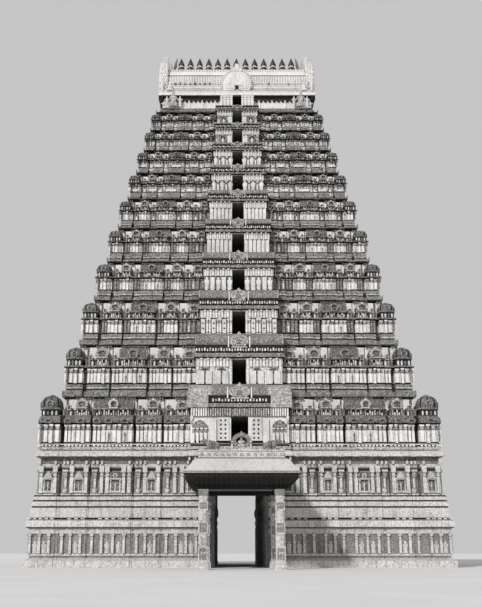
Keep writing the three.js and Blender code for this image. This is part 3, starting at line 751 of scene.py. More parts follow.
def dress_bay(work, bay, depth, matrix, storey, z0, z1):
    """Slabs of pilasters across a bay's wall, the middle one long, with reliefs between them."""
    number = storey.number
    face = -(depth + bay.proud - WALL_SET - 0.1)
    width = bay.x1 - bay.x0
    middle = bay.x0 + width / 2
    tall = z1 - z0
    edge_slab = (PILASTER, GREY_PILASTER, AGED_PILASTER)[(number > 3) + (number > 5)]
    slab = AGED_PILASTER if storey.aged else PILASTER
    if 2 < number < 7 and bay.kind in ("pavilion", "end"):
        edge_slab = slab = DARK_PILASTER
    if bay.kind == "pavilion":
        spots = [at(middle + s * 0.26 * width, face, z0, 0.42 * width, 0.294 * width, tall) for s in (-1, 1)]
        work.add(edge_slab, spots, matrix)
        if number > 5:
            work.add(STATUE_POT, at(middle, face - 0.12, z0, 0.5 * width, 0.24, 0.5 * tall), matrix)
        return
    count = {"corner": 4, "arch": 4, "end": 3, "barrel": 6}[bay.kind]
    stations = list(spread(bay.x0, bay.x1, count))
    wide = 0.74 * width / count
    longest = 2 if bay.kind == "barrel" else 1
    inner = stations[1:longest] + stations[longest + 1:-1]
    for form, chosen in ((edge_slab, stations[::count - 1]), (slab, inner)):
        work.add(form, [at(x, face, z0, wide, 0.4 * wide, tall) for x in chosen], matrix)
    drop = 0.12 * storey.size
    work.add(slab, at(stations[longest], face, z0 - drop, 0.8 * wide, 0.8 * wide, tall + drop), matrix)
    if number in (7, 8):
        work.add(WIDE_PILASTER, at(middle, face, z0, 0.6 * width, 0.2, 0.32 * tall), matrix)
    high = 0.6 * tall
    form, chosen = SMALL_FIGURE, stations[::2] if storey.aged else stations[-1:]
    if bay.kind == "barrel":
        form, chosen = GREY_FIGURE, (stations[1], stations[4])
    spots = [at(x, face - 0.36 * wide, z0 + 0.03, 0.55 * high, 0.3 * high, high) for x in chosen]
    work.add(form, spots, matrix)


def dress_shelf(work, bay, depth, matrix, storey, z0, z_roof, z1):
    """The shrine over one bay: its neck with figures, then its roof."""
    size = storey.size
    face = -(depth + bay.proud - WALL_SET - 0.02)
    deep = 1.05 * size + 0.1
    middle = (bay.x0 + bay.x1) / 2
    half = (bay.x1 - bay.x0) / 2
    neck = z_roof - z0
    tall = z1 - z_roof
    if bay.kind == "pavilion":
        levels = (z0, z_roof + 0.16 * tall)
        work.add(box((bay.x0, bay.x1), (face + 0.2, face + 0.5 * deep), levels, ROOF), None, matrix)
        for side, form in ((-1, SMALL_FIGURE), (1, GREY_FIGURE)):
            x, high = middle + side * 0.5 * half, neck * (1.05 + 0.2 * side)
            work.add(form, at(x, face + 0.08, z0, 0.9 * neck, 0.7 * neck, high), matrix)
        work.add(FAINT_NASI, at(middle, face + 0.12, z_roof, 1.5 * half, 0.2, 0.5 * tall), matrix)
        return
    neck_half = 0.94 * half
    whole = bay.x0 == 0
    low = 0.0 if whole else middle - neck_half
    # The neck behind the figures is painted black as shade
    work.add(box((low, middle + neck_half), (face + 0.16, face + deep), (z0, z_roof), PAINTED_SHADE), None, matrix)
    ends = (middle - neck_half, middle + neck_half)
    count = max(2, round(2 * neck_half / (0.4 * size + 0.06)))
    spots = []
    for i, x in enumerate(spread(*ends, count)):
        tilt = 0.7 + 0.24 * math.sin(2.4 * i + storey.number)
        spots.append(at(x, face + 0.1, z0, 0.7 * neck, 0.5 * neck, tilt * neck))
    posts = [at(x, face + 0.16, z0, 0.14 * size, 0.1, neck) for x in np.linspace(*ends, count + 1)[1:-1]]
    pale = spots[1::3] + spots[2::3]
    for form, places in ((SMALL_FIGURE, pale), (GREY_FIGURE, spots[::3]), (NECK_POST, posts)):
        work.add(form, places, matrix)
    if bay.kind == "barrel":
        reach, centre = (bay.x1, 0.0) if whole else (half, middle)
        copies = LEFT_AND_RIGHT if whole else QUARTERS
        roof = barrel_roof(reach, deep, tall, 0.3 * size + 0.04)
        work.add(roof, at(centre, face + deep / 2, z_roof), matrix, copies)
        arch = 0.8 * tall
        stands = (0.0, 0.55 * reach, -0.55 * reach) if whole else (centre,)
        spots = [at(x, face + 0.08, z_roof + 0.1 * tall, arch, 0.34, arch) for x in stands]
        work.add(BRIGHT_NASI if storey.number == 1 else DARK_NASI, spots, matrix, copies)
    else:
        share = 0.98 if bay.kind == "arch" else 0.8
        roof = arch_roof(min(0.9 * half, 0.42 * tall + 0.12), deep, tall * share)
        work.add(roof, at(middle, face, z_roof), matrix)


def corner_shrine(work, storey, z0, z_roof, z1):
    """The domed shrine on a tier's corner."""
    half = storey.corner / 2
    x = storey.half_width - WALL_SET + 0.3 - half
    y = -(storey.half_depth - WALL_SET + 0.3 - half)
    half *= 0.88
    neck = 0.86 * half
    rise, tall = z_roof - z0, z1 - z_roof
    # The neck behind the figures is painted black as shade
    work.add(box((x - neck, x + neck), (y - neck, y + neck), (z0, z_roof), PAINTED_SHADE))
    for turn in (0, math.pi / 2):
        side = at(x, y, turn=turn)
        for form, steps in ((SMALL_FIGURE, (-0.72, -0.24, 0.72)), (GREY_FIGURE, (0.24,))):
            spots = [at(step * neck, -neck, z0, 0.8 * rise, 0.6 * rise, 0.84 * rise) for step in steps]
            work.add(form, [side @ spot for spot in spots])
        spot = at(0, -0.96 * half, z_roof + 0.14 * tall, 0.5 * tall, 0.12 * half + 0.06, 0.5 * tall)
        work.add(DARK_NASI, side @ spot)
    work.add(DOME, at(x, y, z_roof, half, half, tall))


def tier_wall(storey, upper):
    """A tier's wall: bays with pilasters, the shelf cornice, the shrines on it and the wall behind them."""
    work = Work()
    number, size, z0, top = storey.number, storey.size, storey.slab_top, storey.top
    first = number == 1
    foot = z0 + storey.foot_share * storey.height
    fascia = storey.level(storey.shelf_share)
    neck = storey.level(storey.neck_share)
    roof = storey.level(storey.roof_share)
    crown = storey.level(SHRINE_TOP_SHARE)
    behind = upper.half_width - WALL_SET - storey.half_width
    panel = -WALL_SET - 0.1
    line = foot - min(0.034 * storey.height, 0.6 * (foot - z0))
    # The upper part of the wall is painted darker as the shade under the shelf cornice; dark lines are
    # painted as shade at the wall's foot and under the shelf
    upper_wall_shade = AGED if storey.aged else (ORNAMENT if number > 3 else CORNICE)
    levels = [
        (z0, -0.3, CORNICE), (line, -0.3, PAINTED_SHADE), (line + 0.01, panel, PAINTED_SHADE),
        (foot, panel, AGED if storey.aged else PLASTER), (foot + 0.64 * (fascia - foot), panel, upper_wall_shade),
        (fascia - 0.07 * size, panel, PAINTED_SHADE), (fascia, panel, PAINTED_SHADE),
    ]
    rolled = kapota(fascia + 0.02, neck - fascia - 0.02, -0.1, -0.42, ROOF if first else CORNICE)
    rolled += [(neck + 0.01, behind, PLASTER)]
    # The wall behind the shrines is painted black as shade at their necks and under the floor above
    rear = ((neck, PAINTED_SHADE), (roof, PLASTER), (top - 0.1 * size, PAINTED_SHADE), (top, PAINTED_SHADE))
    rear = [(z, behind, finish) for z, finish in rear]
    slot_depth, narrow = (0.5, -0.05) if number < 4 else (0.25, 0.18)
    # Slots are painted black on the first tier and dark above it, as the shade in them
    shelf_paints = {"slot": PAINTED_SHADE if first else ROOF}
    wall_paints = dict(shelf_paints)
    if number > 2:
        wall_paints["pavilion"] = wall_paints["end"] = AGED if storey.aged else CORNICE
    post = (0.24 * size, 0.12, top - roof - 0.16 * size)
    tooth = (0.11 * size + 0.03, 0.3, 0.16 * size)
    for bays, depth, matrix in storey.faces():
        work.add(courses(bays, depth, levels, slot_depth, wall_paints, narrow), None, matrix)
        work.add(courses(bays, depth, rolled, 0.5 * slot_depth, shelf_paints, narrow), None, matrix)
        flat = [bay._replace(proud=0.0) for bay in bays]
        work.add(courses(flat, depth, rear, 0.0, {"slot": ROOF}), None, matrix)
        posts = row(flat, depth, behind, roof, 0.7 * size + 0.08, post, BROAD)
        teeth = row(flat, depth, behind, top - 0.16 * size, 0.22 * size + 0.05, tooth, BROAD)
        for form, spots in ((PALE_PILASTER, posts), (GREY_DENTIL, teeth)):
            work.add(form, [spot for spot in spots if spot[0, 3] < bays[-1].x1 + behind], matrix)
        for bay, following in zip(bays, bays[1:] + [None]):
            if bay.kind == "slot":
                tall = roof - neck + 0.2 * size
                seat = at((bay.x0 + bay.x1) / 2, -(depth - WALL_SET - 0.45), neck, tall, 0.8 * tall, tall)
                work.add(GREY_FIGURE, seat, matrix)
                continue
            dress_bay(work, bay, depth, matrix, storey, foot, fascia - 0.1 * size)
            nasi = 0.7 * (neck - fascia)
            if first:
                spots = row([bay], depth, -0.16, fascia + 0.02, 1.7, (0.85, 0.24, 0.9 * nasi))
            else:
                spots = row([bay], depth, -0.16, fascia + 0.04, 0.8 * size + 0.1, (nasi, 0.2, nasi))
            work.add(FAINT_NASI if 1 < number < 4 else DARK_NASI, spots, matrix)
            if first and bay.kind == "barrel" and bay.x0:
                bay = bay._replace(x1=following.x1)
            if bay.kind != "corner":
                dress_shelf(work, bay, depth, matrix, storey, neck - 0.02, roof, crown)
    corner_shrine(work, storey, neck - 0.02, roof, storey.level(1.02) if first else crown)
    centre_block(work, storey)
    return work


# Levels of the cornice over a tier's doorway: share of its rise, how far out, and finish; its underside and
# its upper part are painted black as shade
CREST_LEVELS = (
    (0.0, -0.33, PAINTED_SHADE), (0.05, -0.33, PAINTED_SHADE), (0.06, -0.08, CORNICE), (0.14, -0.05, CORNICE),
    (0.24, -0.09, CORNICE), (0.33, -0.18, ORNAMENT), (0.39, -0.28, PAINTED_SHADE), (0.53, -0.26, PAINTED_SHADE),
    (1.0, -0.2, PAINTED_SHADE),
)
# Where the first tier's flanks start beside its doorway
FLANK_START = 3.1


def centre_block(work, storey):
    """The middle of a tier's front and back: a doorway between white slabs, a cornice and a row of blocks."""
    size, half, z0, top = storey.size, storey.centre, storey.slab_top, storey.top
    first = storey.number == 1
    depth = storey.half_depth + storey.proud
    face = depth - WALL_SET
    inner, outer, back = storey.door_half, half - WALL_SET, storey.room_depth
    wall_top = storey.level(storey.wall_top_share)
    rise = storey.crest_share * storey.height
    panel = (PLASTER, CORNICE, AGED)[(storey.number > 2) + (storey.number > 8)]
    # The room behind the doorway is painted black as shade
    plan = [(storey.room_half, 0), (storey.room_half, -back), (inner, -back), (inner, -face), (outer, -face)]
    work.add(along(Z, plan + [(outer, -back)], z0, top, [PAINTED_SHADE, PAINTED_SHADE, PAINTED_SHADE, panel, CORNICE], False))
    lintel = z0 + storey.door_height
    work.both(box((-inner, inner), (-face - 0.1, -back), (lintel, wall_top), CORNICE))
    line = z0 + 0.035 * storey.height
    frieze = storey.level(0.636) if first else z0 + 0.66 * (wall_top - z0)
    # Dark bands painted as shade at the wall's foot, at the frieze and under the wall's top
    foot = [(z0, -0.28, PAINTED_SHADE), (line, -0.28, PAINTED_SHADE), (line + 0.01, -0.36, PAINTED_SHADE)]
    bands = [
        (frieze, 0.01 - WALL_SET, PAINTED_SHADE), (frieze + 0.05 * size, 0.08 - WALL_SET, PAINTED_SHADE if first else ORNAMENT),
        (wall_top - 0.02, 0.08 - WALL_SET, PAINTED_SHADE), (wall_top, -WALL_SET, PAINTED_SHADE),
    ]
    crest = [(wall_top + share * rise, out, finish) for share, out, finish in CREST_LEVELS]
    if crest[-1][0] < top:
        crest.append((top, -0.2, PAINTED_SHADE))
    for levels, start in ((foot, inner), (bands, inner), (crest, 0)):
        work.add(centred_courses(start, half, depth, back, levels))
    if first:
        flank = [(FLANK_START, 0.04 - depth), (half - 0.04, 0.04 - depth), (half - 0.04, -back)]
        leans = ((0.03, 0.2), (0.06, 0.02), (0.3 * rise, 0.0), (top + 0.1 - wall_top, 0.0))
        rings = [[(x, y + lean, wall_top + up) for x, y in flank] for up, lean in leans]
        work.add(loft(rings, ORNAMENT, closed=False))
    dress_centre_wall(work, storey, inner, outer, face, z0, frieze)
    count = max(3, round((outer - inner) / (0.24 if first else 0.36 * size)))
    pitch = (outer - inner) / count
    wide = (0.66 if first else 0.76) * pitch
    tall = wall_top - 0.03 * size - frieze
    spots = [at(x, -face - 0.06, frieze, wide, 0.16, tall) for x in spread(inner, outer, count)]
    if first:
        tall = wall_top - lintel - 0.1
        work.add(DENTIL, [spot for spot in spots if spot[0, 3] > FLANK_START])
        work.add(ORNAMENT_DENTIL, [spot for spot in spots if spot[0, 3] <= FLANK_START])
        middle = [at(i * pitch, -face - 0.1, lintel + 0.06, 0.5 * pitch, 0.12, tall) for i in range(-2, 3)]
        work.both(ORNAMENT_DENTIL, middle)
    else:
        work.add(PALE_BOSS, spots[::2])
        work.add(PALE_PILASTER, spots[1::2])
    reach = FLANK_START - 0.3 if first else half - 0.2
    count = max(4, round(reach / (0.26 * size + 0.04)))
    z = wall_top + 0.53 * rise
    spots = [at(x, 0.23 - depth, z, 0.56 * reach / count, 0.12, (0.24 - 0.05 * (i % 2)) * rise)
             for i, x in enumerate(spread(0, reach, count))]
    for start, form in enumerate((DENTIL, ORNAMENT_DENTIL, PALE_BOSS)):
        work.add(form, spots[start::3])
    nasi = 0.32 * rise
    z = wall_top + 0.07 * rise
    work.add(FAINT_NASI, [at(share * half, 0.18 - depth, z, nasi, 0.16, nasi) for share in (0.5, 0.9)])
    work.both(BRIGHT_NASI, at(0, 0.18 - depth, z, 1.3 * nasi, 0.16, nasi))


def dress_centre_wall(work, storey, inner, outer, face, z0, z1):
    """White slabs, statues and niches on both sides of a tier's doorway."""
    number, span, tall = storey.number, outer - inner, z1 - z0

    def put(form, x, width, deep, high, up=0.0, out=0.0):
        work.add(form, at(x, -face - out, z0 + up, width, deep, high))

    # The first tier has a slab with diamonds painted black as the shade of its piercings, a shrine on four
    # posts, a broad slab and a pilaster
    if number == 1:
        parts = [box((inner + 0.2, inner + 1.36), (-face - 0.07, -face), (z0 + 0.12, z1 - 0.04), FIGURE)]
        for i in range(2):
            for j in range(5):
                x, z = inner + 0.56 + 0.44 * i, z0 + 0.5 + 0.44 * j
                hole = [(x, z - 0.14), (x + 0.12, z), (x, z + 0.14), (x - 0.12, z)]
                parts.append(along(Y, hole, -face, -face - 0.078, PAINTED_SHADE))
        work.add(joined(parts))
        middle, shelf = 3.95, 0.56 * tall
        for step in (-0.6, -0.2, 0.2, 0.6):
            put(PILASTER, middle + step, 0.24, 0.26, shelf)
        put(CANOPY, middle, 1.5, 0.32, 0.32 * tall, shelf)
        put(ORNATE_NASI, middle, 0.5, 0.14, 0.18 * tall, shelf + 0.04 * tall, 0.2)
        put(WIDE_PILASTER, inner + 1.75, 0.6, 0.2, 0.9 * tall)
        put(PILASTER, outer - 0.12, 0.24, 0.2, tall)
    # The second has pairs of broad slabs under small arches
    elif number == 2:
        shelf = 0.76 * tall
        for x in (inner + 0.3 * span, inner + 0.76 * span):
            for step in (-0.11, 0.11):
                put(WIDE_PILASTER, x + step * span, 0.17 * span, 0.24, shelf)
            put(GREY_ARCH, x, 0.26 * span, 0.24, 0.26 * tall, shelf - 0.04 * tall)
        for share in (0.05, 0.53, 0.97):
            put(PALE_PILASTER, inner + share * span, 0.08 * span, 0.1, tall)
    # The highest have a broad slab, a niche with a figure and a narrow slab
    elif number > 8:
        middle = inner + 0.58 * span
        put(WIDE_PILASTER, inner + 0.17 * span, 0.28 * span, 0.12, 0.95 * tall)
        put(AGED_PILASTER, outer - 0.1 * span, 0.18 * span, 0.1, tall)
        put(NICHE_ARCH, middle, 0.46 * span, 0.26, 0.86 * tall, 0.22 * tall)
        put(SMALL_FIGURE, middle, 0.56 * tall, 0.3 * tall, 0.7 * tall, out=0.2)
    # The seventh and eighth have figures and slabs in turn
    elif number > 6:
        for i, x in enumerate(spread(inner, outer, 5)):
            if i % 2:
                put(FIGURE_SLAB, x, 0.1 * span, 0.14, tall)
            else:
                put(SMALL_FIGURE, x, 0.8 * tall, 0.4 * tall, 1.04 * tall, 0.02, 0.02)
    # The others have broad slabs, on the third and fourth with figures or pilasters between them
    else:
        slabs = 5 if number == 4 else 6
        pitch = span / slabs
        for i, x in enumerate(spread(inner, outer, slabs)):
            if number > 4:
                wide = (0.8 + 0.08 * math.sin(3.0 * i + number)) * pitch
                put(WIDE_PILASTER, x, wide, 0.2 * pitch, 0.97 * tall, 0.02)
            elif i % 2:
                put(WIDE_PILASTER, x, 0.72 * pitch, 0.3 * pitch, 0.9 * tall, 0.02)
                # Small black blocks painted as shade on the third tier's slabs
                for share in (0.3, 0.62) if number == 3 else ():
                    put(PAINTED_SHADE_DENTIL, x, 0.16, 0.06, 0.12, share * tall, 0.29 * pitch)
            elif number == 4:
                put(SMALL_FIGURE, x, 1.9 * pitch, 0.5 * pitch, 0.96 * tall, 0.02, 0.04)
            else:
                for step in (-0.25, 0.25):
                    put(PILASTER, x + step * pitch, 0.4 * pitch, 0.14 * pitch, tall, 0.02)


def tier_floor(storey, lower):
    """A tier's cornice and mouldings, with the barrel roof of the centre below in their middle."""
    work = Work()
    size, floor, top = storey.size, storey.floor, storey.slab_top
    thick = top - floor
    edge = floor + storey.edge_share * storey.height
    # The kapota's underside and a line under the mouldings are painted black as shade
    levels = kapota(edge, floor + 0.66 * thick - edge, 0.0, -0.3) + [
        (floor + 0.68 * thick, -0.38, PAINTED_SHADE), (floor + 0.76 * thick, -0.38, ORNAMENT),
        (floor + 0.78 * thick, -0.26, ORNAMENT), (floor + 0.9 * thick, -0.28, CORNICE),
        (top - 0.02, -0.3, CORNICE), (top, -0.4, PAINTED_SHADE), (top, -3.0, ROOF),
    ]
    z, high = edge + 0.1 * thick, 0.4 * thick
    for bays, depth, matrix in storey.faces():
        # Slots are painted dark as the shade in them
        work.add(courses(bays, depth, levels, 0.3, {"slot": ROOF}, -0.05), None, matrix)
        work.add(KAPOTA_NASI, row(bays, depth, -0.14, z, 9.0, (0.5 * size, 0.14, high), BROAD), matrix)
        for bay in bays:
            if bay.kind in BROAD:
                ends = (bay.x0 + 0.12 * size, bay.x1 - 0.12 * size)
                tabs = [at(x, -(depth + bay.proud - 0.12), z, 0.14 * size, 0.12, high) for x in ends]
                work.add(GREY_DENTIL, tabs, matrix)
        fringe = row(bays, depth, -0.3, edge - 0.1 * size, 0.26 * size, (0.09 * size, 0.12, 0.12 * size))
        work.add(GREY_DENTIL, fringe, matrix)
    face = lower.half_depth + lower.proud
    sill = storey.half_depth + (storey.proud - 0.2 if storey.number < TIERS else 0.1)
    half = max(lower.centre - 0.12, storey.centre)
    start = lower.level(lower.wall_top_share + lower.crest_share)

    def slope(lip, shares):
        """A section from its lip, by distance in from the face, then by share of the way to the sill."""
        points = [(inset - face, up) for inset, up in lip]
        points += [(-(share * face + (1 - share) * sill), up) for share, up in shares]
        return [(y, start + up * (top - start)) for y, up in points + [(0.3 - sill, 0.985)]]

    section = slope(((0.16, 0.0), (0.1, 0.04), (0.07, 0.16), (0.08, 0.34), (0.16, 0.54)),
                    ((0.74, 0.72), (0.44, 0.86), (0.16, 0.95)))
    middle = 0.55 * half if storey.number == 2 else half
    work.both(strip(section, -middle, middle, [CORNICE] * 7 + [ROOF]))
    if middle < half:
        work.add(strip(slope(((0.04, 0), (0.06, 0.34)), ((0.8, 0.6), (0.45, 0.82))), middle, half, ORNAMENT))
    gable = along(X, (section + [(0.3 - sill, start)])[::-1], -0.06, 0.06, CORNICE)
    rib = strip([(y - 0.04, z + 0.02) for y, z in section[1:6]], -0.05, 0.05, ORNAMENT)
    for form, inset in ((gable, 0.05), (rib, 0.1)):
        work.both(form, [at(side * (half - inset)) for side in (-1, 1)])
    y, big = 0.2 - face, 2.1 * size + 0.2
    bottom = start - 0.05 * lower.height
    high = floor + 0.8 * thick - bottom
    work.both(RING_NASI, at(0, y, bottom, big, 0.19, high))
    work.both(ORNATE_NASI, at(0, y, bottom + 0.14 * high, 0.56 * big, 0.16, 0.6 * high))
    work.both(DENTIL, [at(side * 0.56 * big, y, bottom, 0.14 * size, 0.19, 0.7 * high) for side in (-1, 1)])
    x, y = storey.half_width - 0.5, storey.half_depth - 0.5
    # The core is painted black as shade
    work.once(box((-x, x), (-y, y), (floor, top), PAINTED_SHADE))
    return work


BLOCK = [(0.5, 0.0), (0.5, 1.0)]
DENTIL = relief(BLOCK)
GREY_DENTIL = DENTIL.painted(CORNICE)
ORNAMENT_DENTIL = DENTIL.painted(ORNAMENT)
# Small blocks painted black as shade
PAINTED_SHADE_DENTIL = DENTIL.painted(PAINTED_SHADE)
ROOF_DENTIL = DENTIL.painted(ROOF)
STONE_DENTIL = DENTIL.painted(GRANITE)
WIDE_PILASTER = relief(BLOCK, FIGURE, sides=CORNICE)
NECK_POST = relief(BLOCK, AGED, sides=PAINTED_SHADE)
PILASTER = pilaster()
GREY_PILASTER = pilaster(ORNAMENT, CORNICE, CORNICE)
AGED_PILASTER = pilaster(AGED, CORNICE, PAINTED_SHADE)
DARK_PILASTER = pilaster(CORNICE, ORNAMENT, PAINTED_SHADE)
PALE_PILASTER = pilaster(PLASTER, PLASTER, ORNAMENT)
LIME_PILASTER = pilaster(LIME, LIME, ORNAMENT)
FIGURE_SLAB = pilaster(FIGURE, CORNICE, PAINTED_SHADE)
STONE_PILASTER = pilaster(GRANITE, GRANITE, DARK_GRANITE_AND_SHADE)
STONE_POT = pot_pilaster(GRANITE, GRANITE, DARK_GRANITE_AND_SHADE)
SMALL_FIGURE = small_figure()
GREY_FIGURE = small_figure(CORNICE)
STONE_FIGURE = small_figure(GRANITE)
DARK_NASI = horseshoe(CORNICE, ROOF, 8, False, ROOF)
FAINT_NASI = horseshoe(ORNAMENT, CORNICE, 7, False)
KAPOTA_NASI = horseshoe(CORNICE, CORNICE, 7, False)
ORNATE_NASI = horseshoe(ORNAMENT, ORNAMENT, 9, False)
STONE_NASI = horseshoe(GRANITE, DARK_GRANITE_AND_SHADE, 7, False, DARK_GRANITE_AND_SHADE)
PALE_STONE_NASI = horseshoe(GRANITE, GRANITE, 7, False, GRANITE)
RING_NASI = horseshoe(ORNAMENT, ROOF, 10)
BRIGHT_NASI = horseshoe(GRANITE, ROOF, 11)
NICHE_ARCH = horseshoe(CORNICE, PAINTED_SHADE, 9)
GREY_ARCH = horseshoe(CORNICE, CORNICE, 11, False)
DOME = ribbed_dome()
PALE_BOSS = turned([(0.45, 0.0), (0.5, 0.5), (0.3, 1.0)], 6, FIGURE, flatness=0.5)
GABLE_BOSS = turned([(0.3, 0.0), (0.5, 0.3), (0.42, 0.6), (0.5, 0.8), (0.1, 1.0)], 6, LIME)
STATUE_POT = turned(
    [(0.3, 0.0), (0.5, 0.2), (0.46, 0.45), (0.2, 0.6), (0.3, 0.7), (0.08, 1.0)], 8, FIGURE, flatness=0.6)
CANOPY = relief(
    [(0.5, 0.0), (0.5, 0.1), (0.4, 0.14), (0.4, 0.26), (0.46, 0.3), (0.44, 0.44), (0.3, 0.5), (0.3, 0.58),
     (0.34, 0.62), (0.3, 0.76), (0.12, 0.84), (0.1, 0.94), (0.03, 1.0)],
    [CORNICE, PAINTED_SHADE, ORNAMENT, PAINTED_SHADE, CORNICE, CORNICE, PAINTED_SHADE, ORNAMENT, CORNICE, ORNAMENT, CORNICE, ORNAMENT],
)


def top_tier(storey):
    """The topmost tier: white walls with pilasters under the roof's eave, and a doorway block."""
    work = Work()
    z0, z1, back = storey.slab_top, storey.top, storey.room_depth
    half, depth = storey.half_width - 0.75, storey.half_depth - 0.7
    sill = z0 + 0.66
    # Black bands painted as shade at the foot of the wall and under the eave
    levels = [
        (z0, 0.2, PAINTED_SHADE), (z0 + 0.1, 0.2, CORNICE), (z0 + 0.12, 0.26, CORNICE), (z0 + 0.34, 0.24, PAINTED_SHADE),
        (z0 + 0.4, 0.14, CORNICE), (z0 + 0.42, 0.18, CORNICE), (z0 + 0.6, 0.16, PAINTED_SHADE), (sill, 0.0, LIME),
        (z1 - 0.1, 0.0, PAINTED_SHADE), (z1 - 0.08, 0.1, PAINTED_SHADE), (z1, 0.1, PAINTED_SHADE),
    ]
    for reach, face, matrix in ((half, depth, FRONT), (depth, half, SIDE)):
        start = 0.0 if matrix is SIDE else storey.centre - 0.3
        bays = [Bay("flat", start, reach - 0.7, 0.0), Bay("pavilion", reach - 0.7, reach - 0.5, -0.16)]
        bays += [Bay("corner", reach - 0.5, reach, 0.0)]
        work.add(courses(bays, face, levels, 0.0), None, matrix)
        posts = row(bays[:1], face, 0.0, sill, 1.7, (0.3, 0.1, z1 - 0.24 - sill), None, 0.2)
        work.add(PALE_PILASTER, posts, matrix)
    seat = z0 + 0.5
    work.add(figure(FIGURE, 10, seated=True), at(half - 0.75, -(depth + 0.3), seat, 1.7, 0.8, 1.2))
    for x, tall in ((half - 1.7, 1.05), (half - 1.3, 0.8), (half - 0.2, 1.1)):
        work.add(figure(FIGURE, 8), at(x, -(depth + 0.25), seat, 1.5, 0.9, tall))
    inner = storey.door_half
    face = storey.half_depth + 0.1
    # The room behind the doorway and the doorway's upper part are painted black as shade
    plan = [(storey.room_half, 0), (storey.room_half, -back), (inner, -back), (inner, -face)]
    plan += [(TOP_CENTRE, -face), (TOP_CENTRE, -depth)]
    work.add(along(Z, plan, z0, z1, [PAINTED_SHADE, PAINTED_SHADE, PAINTED_SHADE, LIME, LIME], False))
    work.both(box((-inner, inner), (-face, -back), (z0 + TOP_DOOR_SHARE * storey.height, z1), PAINTED_SHADE))
    post = (0.24, 0.14, z1 - z0 - 0.1)
    work.add(LIME_PILASTER, [at(inner + 0.12 + i * 0.42, -face, z0, *post) for i in range(4)])
    work.add(SMALL_FIGURE, [at(inner + 0.34 + i * 0.42, -face, z0 + 0.1, 0.4, 0.3, 0.9) for i in range(3)])
    return work


# Granite base

BASE_HALF_WIDTH = 20.55
BASE_HALF_DEPTH = 14.95
FIRST_HALF_WIDTH = 20.1
BASE_INSET = 0.4
BASE_CENTRE_PROUD = 0.4
WALL_STEP = 0.85
GATE_HALF = 2.75
GATE_CEILING = 9.2
PLINTH_TOP = 6.85
WALL_TOP = 9.9


def base_bays(front, reach):
    """The bays of half a side of the base, out to `reach`."""
    if front:
        return bays_of(FRONT_BAYS[:-1], GATE_HALF, FIRST_HALF_WIDTH, reach)
    side_reach = FIRST_HALF_WIDTH - SIDE_SETBACK - CORNER_SHARE * FIRST_HALF_WIDTH
    return bays_of(SIDE_BAYS, 0.0, side_reach, reach)


def side_copies(side):
    """The two quarters on one hand of the tower."""
    return [matrix for matrix in QUARTERS if matrix[0, 0] == side]


def flat_face(points):
    """One face in the darker granite, painted as shade, with its corners in clockwise order."""
    return Form(points, np.arange(len(points))[::-1], [len(points)], [DARK_GRANITE_AND_SHADE])


def gate_side(work, levels, depth, z0, z1, reach, width, copies):
    """The cut face of a run of mouldings at the gate, and the pilasters along the passage behind it."""
    points = [(GATE_HALF, -(depth + out), z) for z, out, _ in levels]
    work.add(flat_face(points + [(GATE_HALF, 0, levels[-1][0]), (GATE_HALF, 0, levels[0][0])]), copies=copies)
    posts = [at(GATE_HALF, -y, z0, width, 0.3, z1 - z0, -math.pi / 2) for y in np.arange(0.9, reach, 1.9)]
    work.add(STONE_PILASTER, posts, copies=copies)


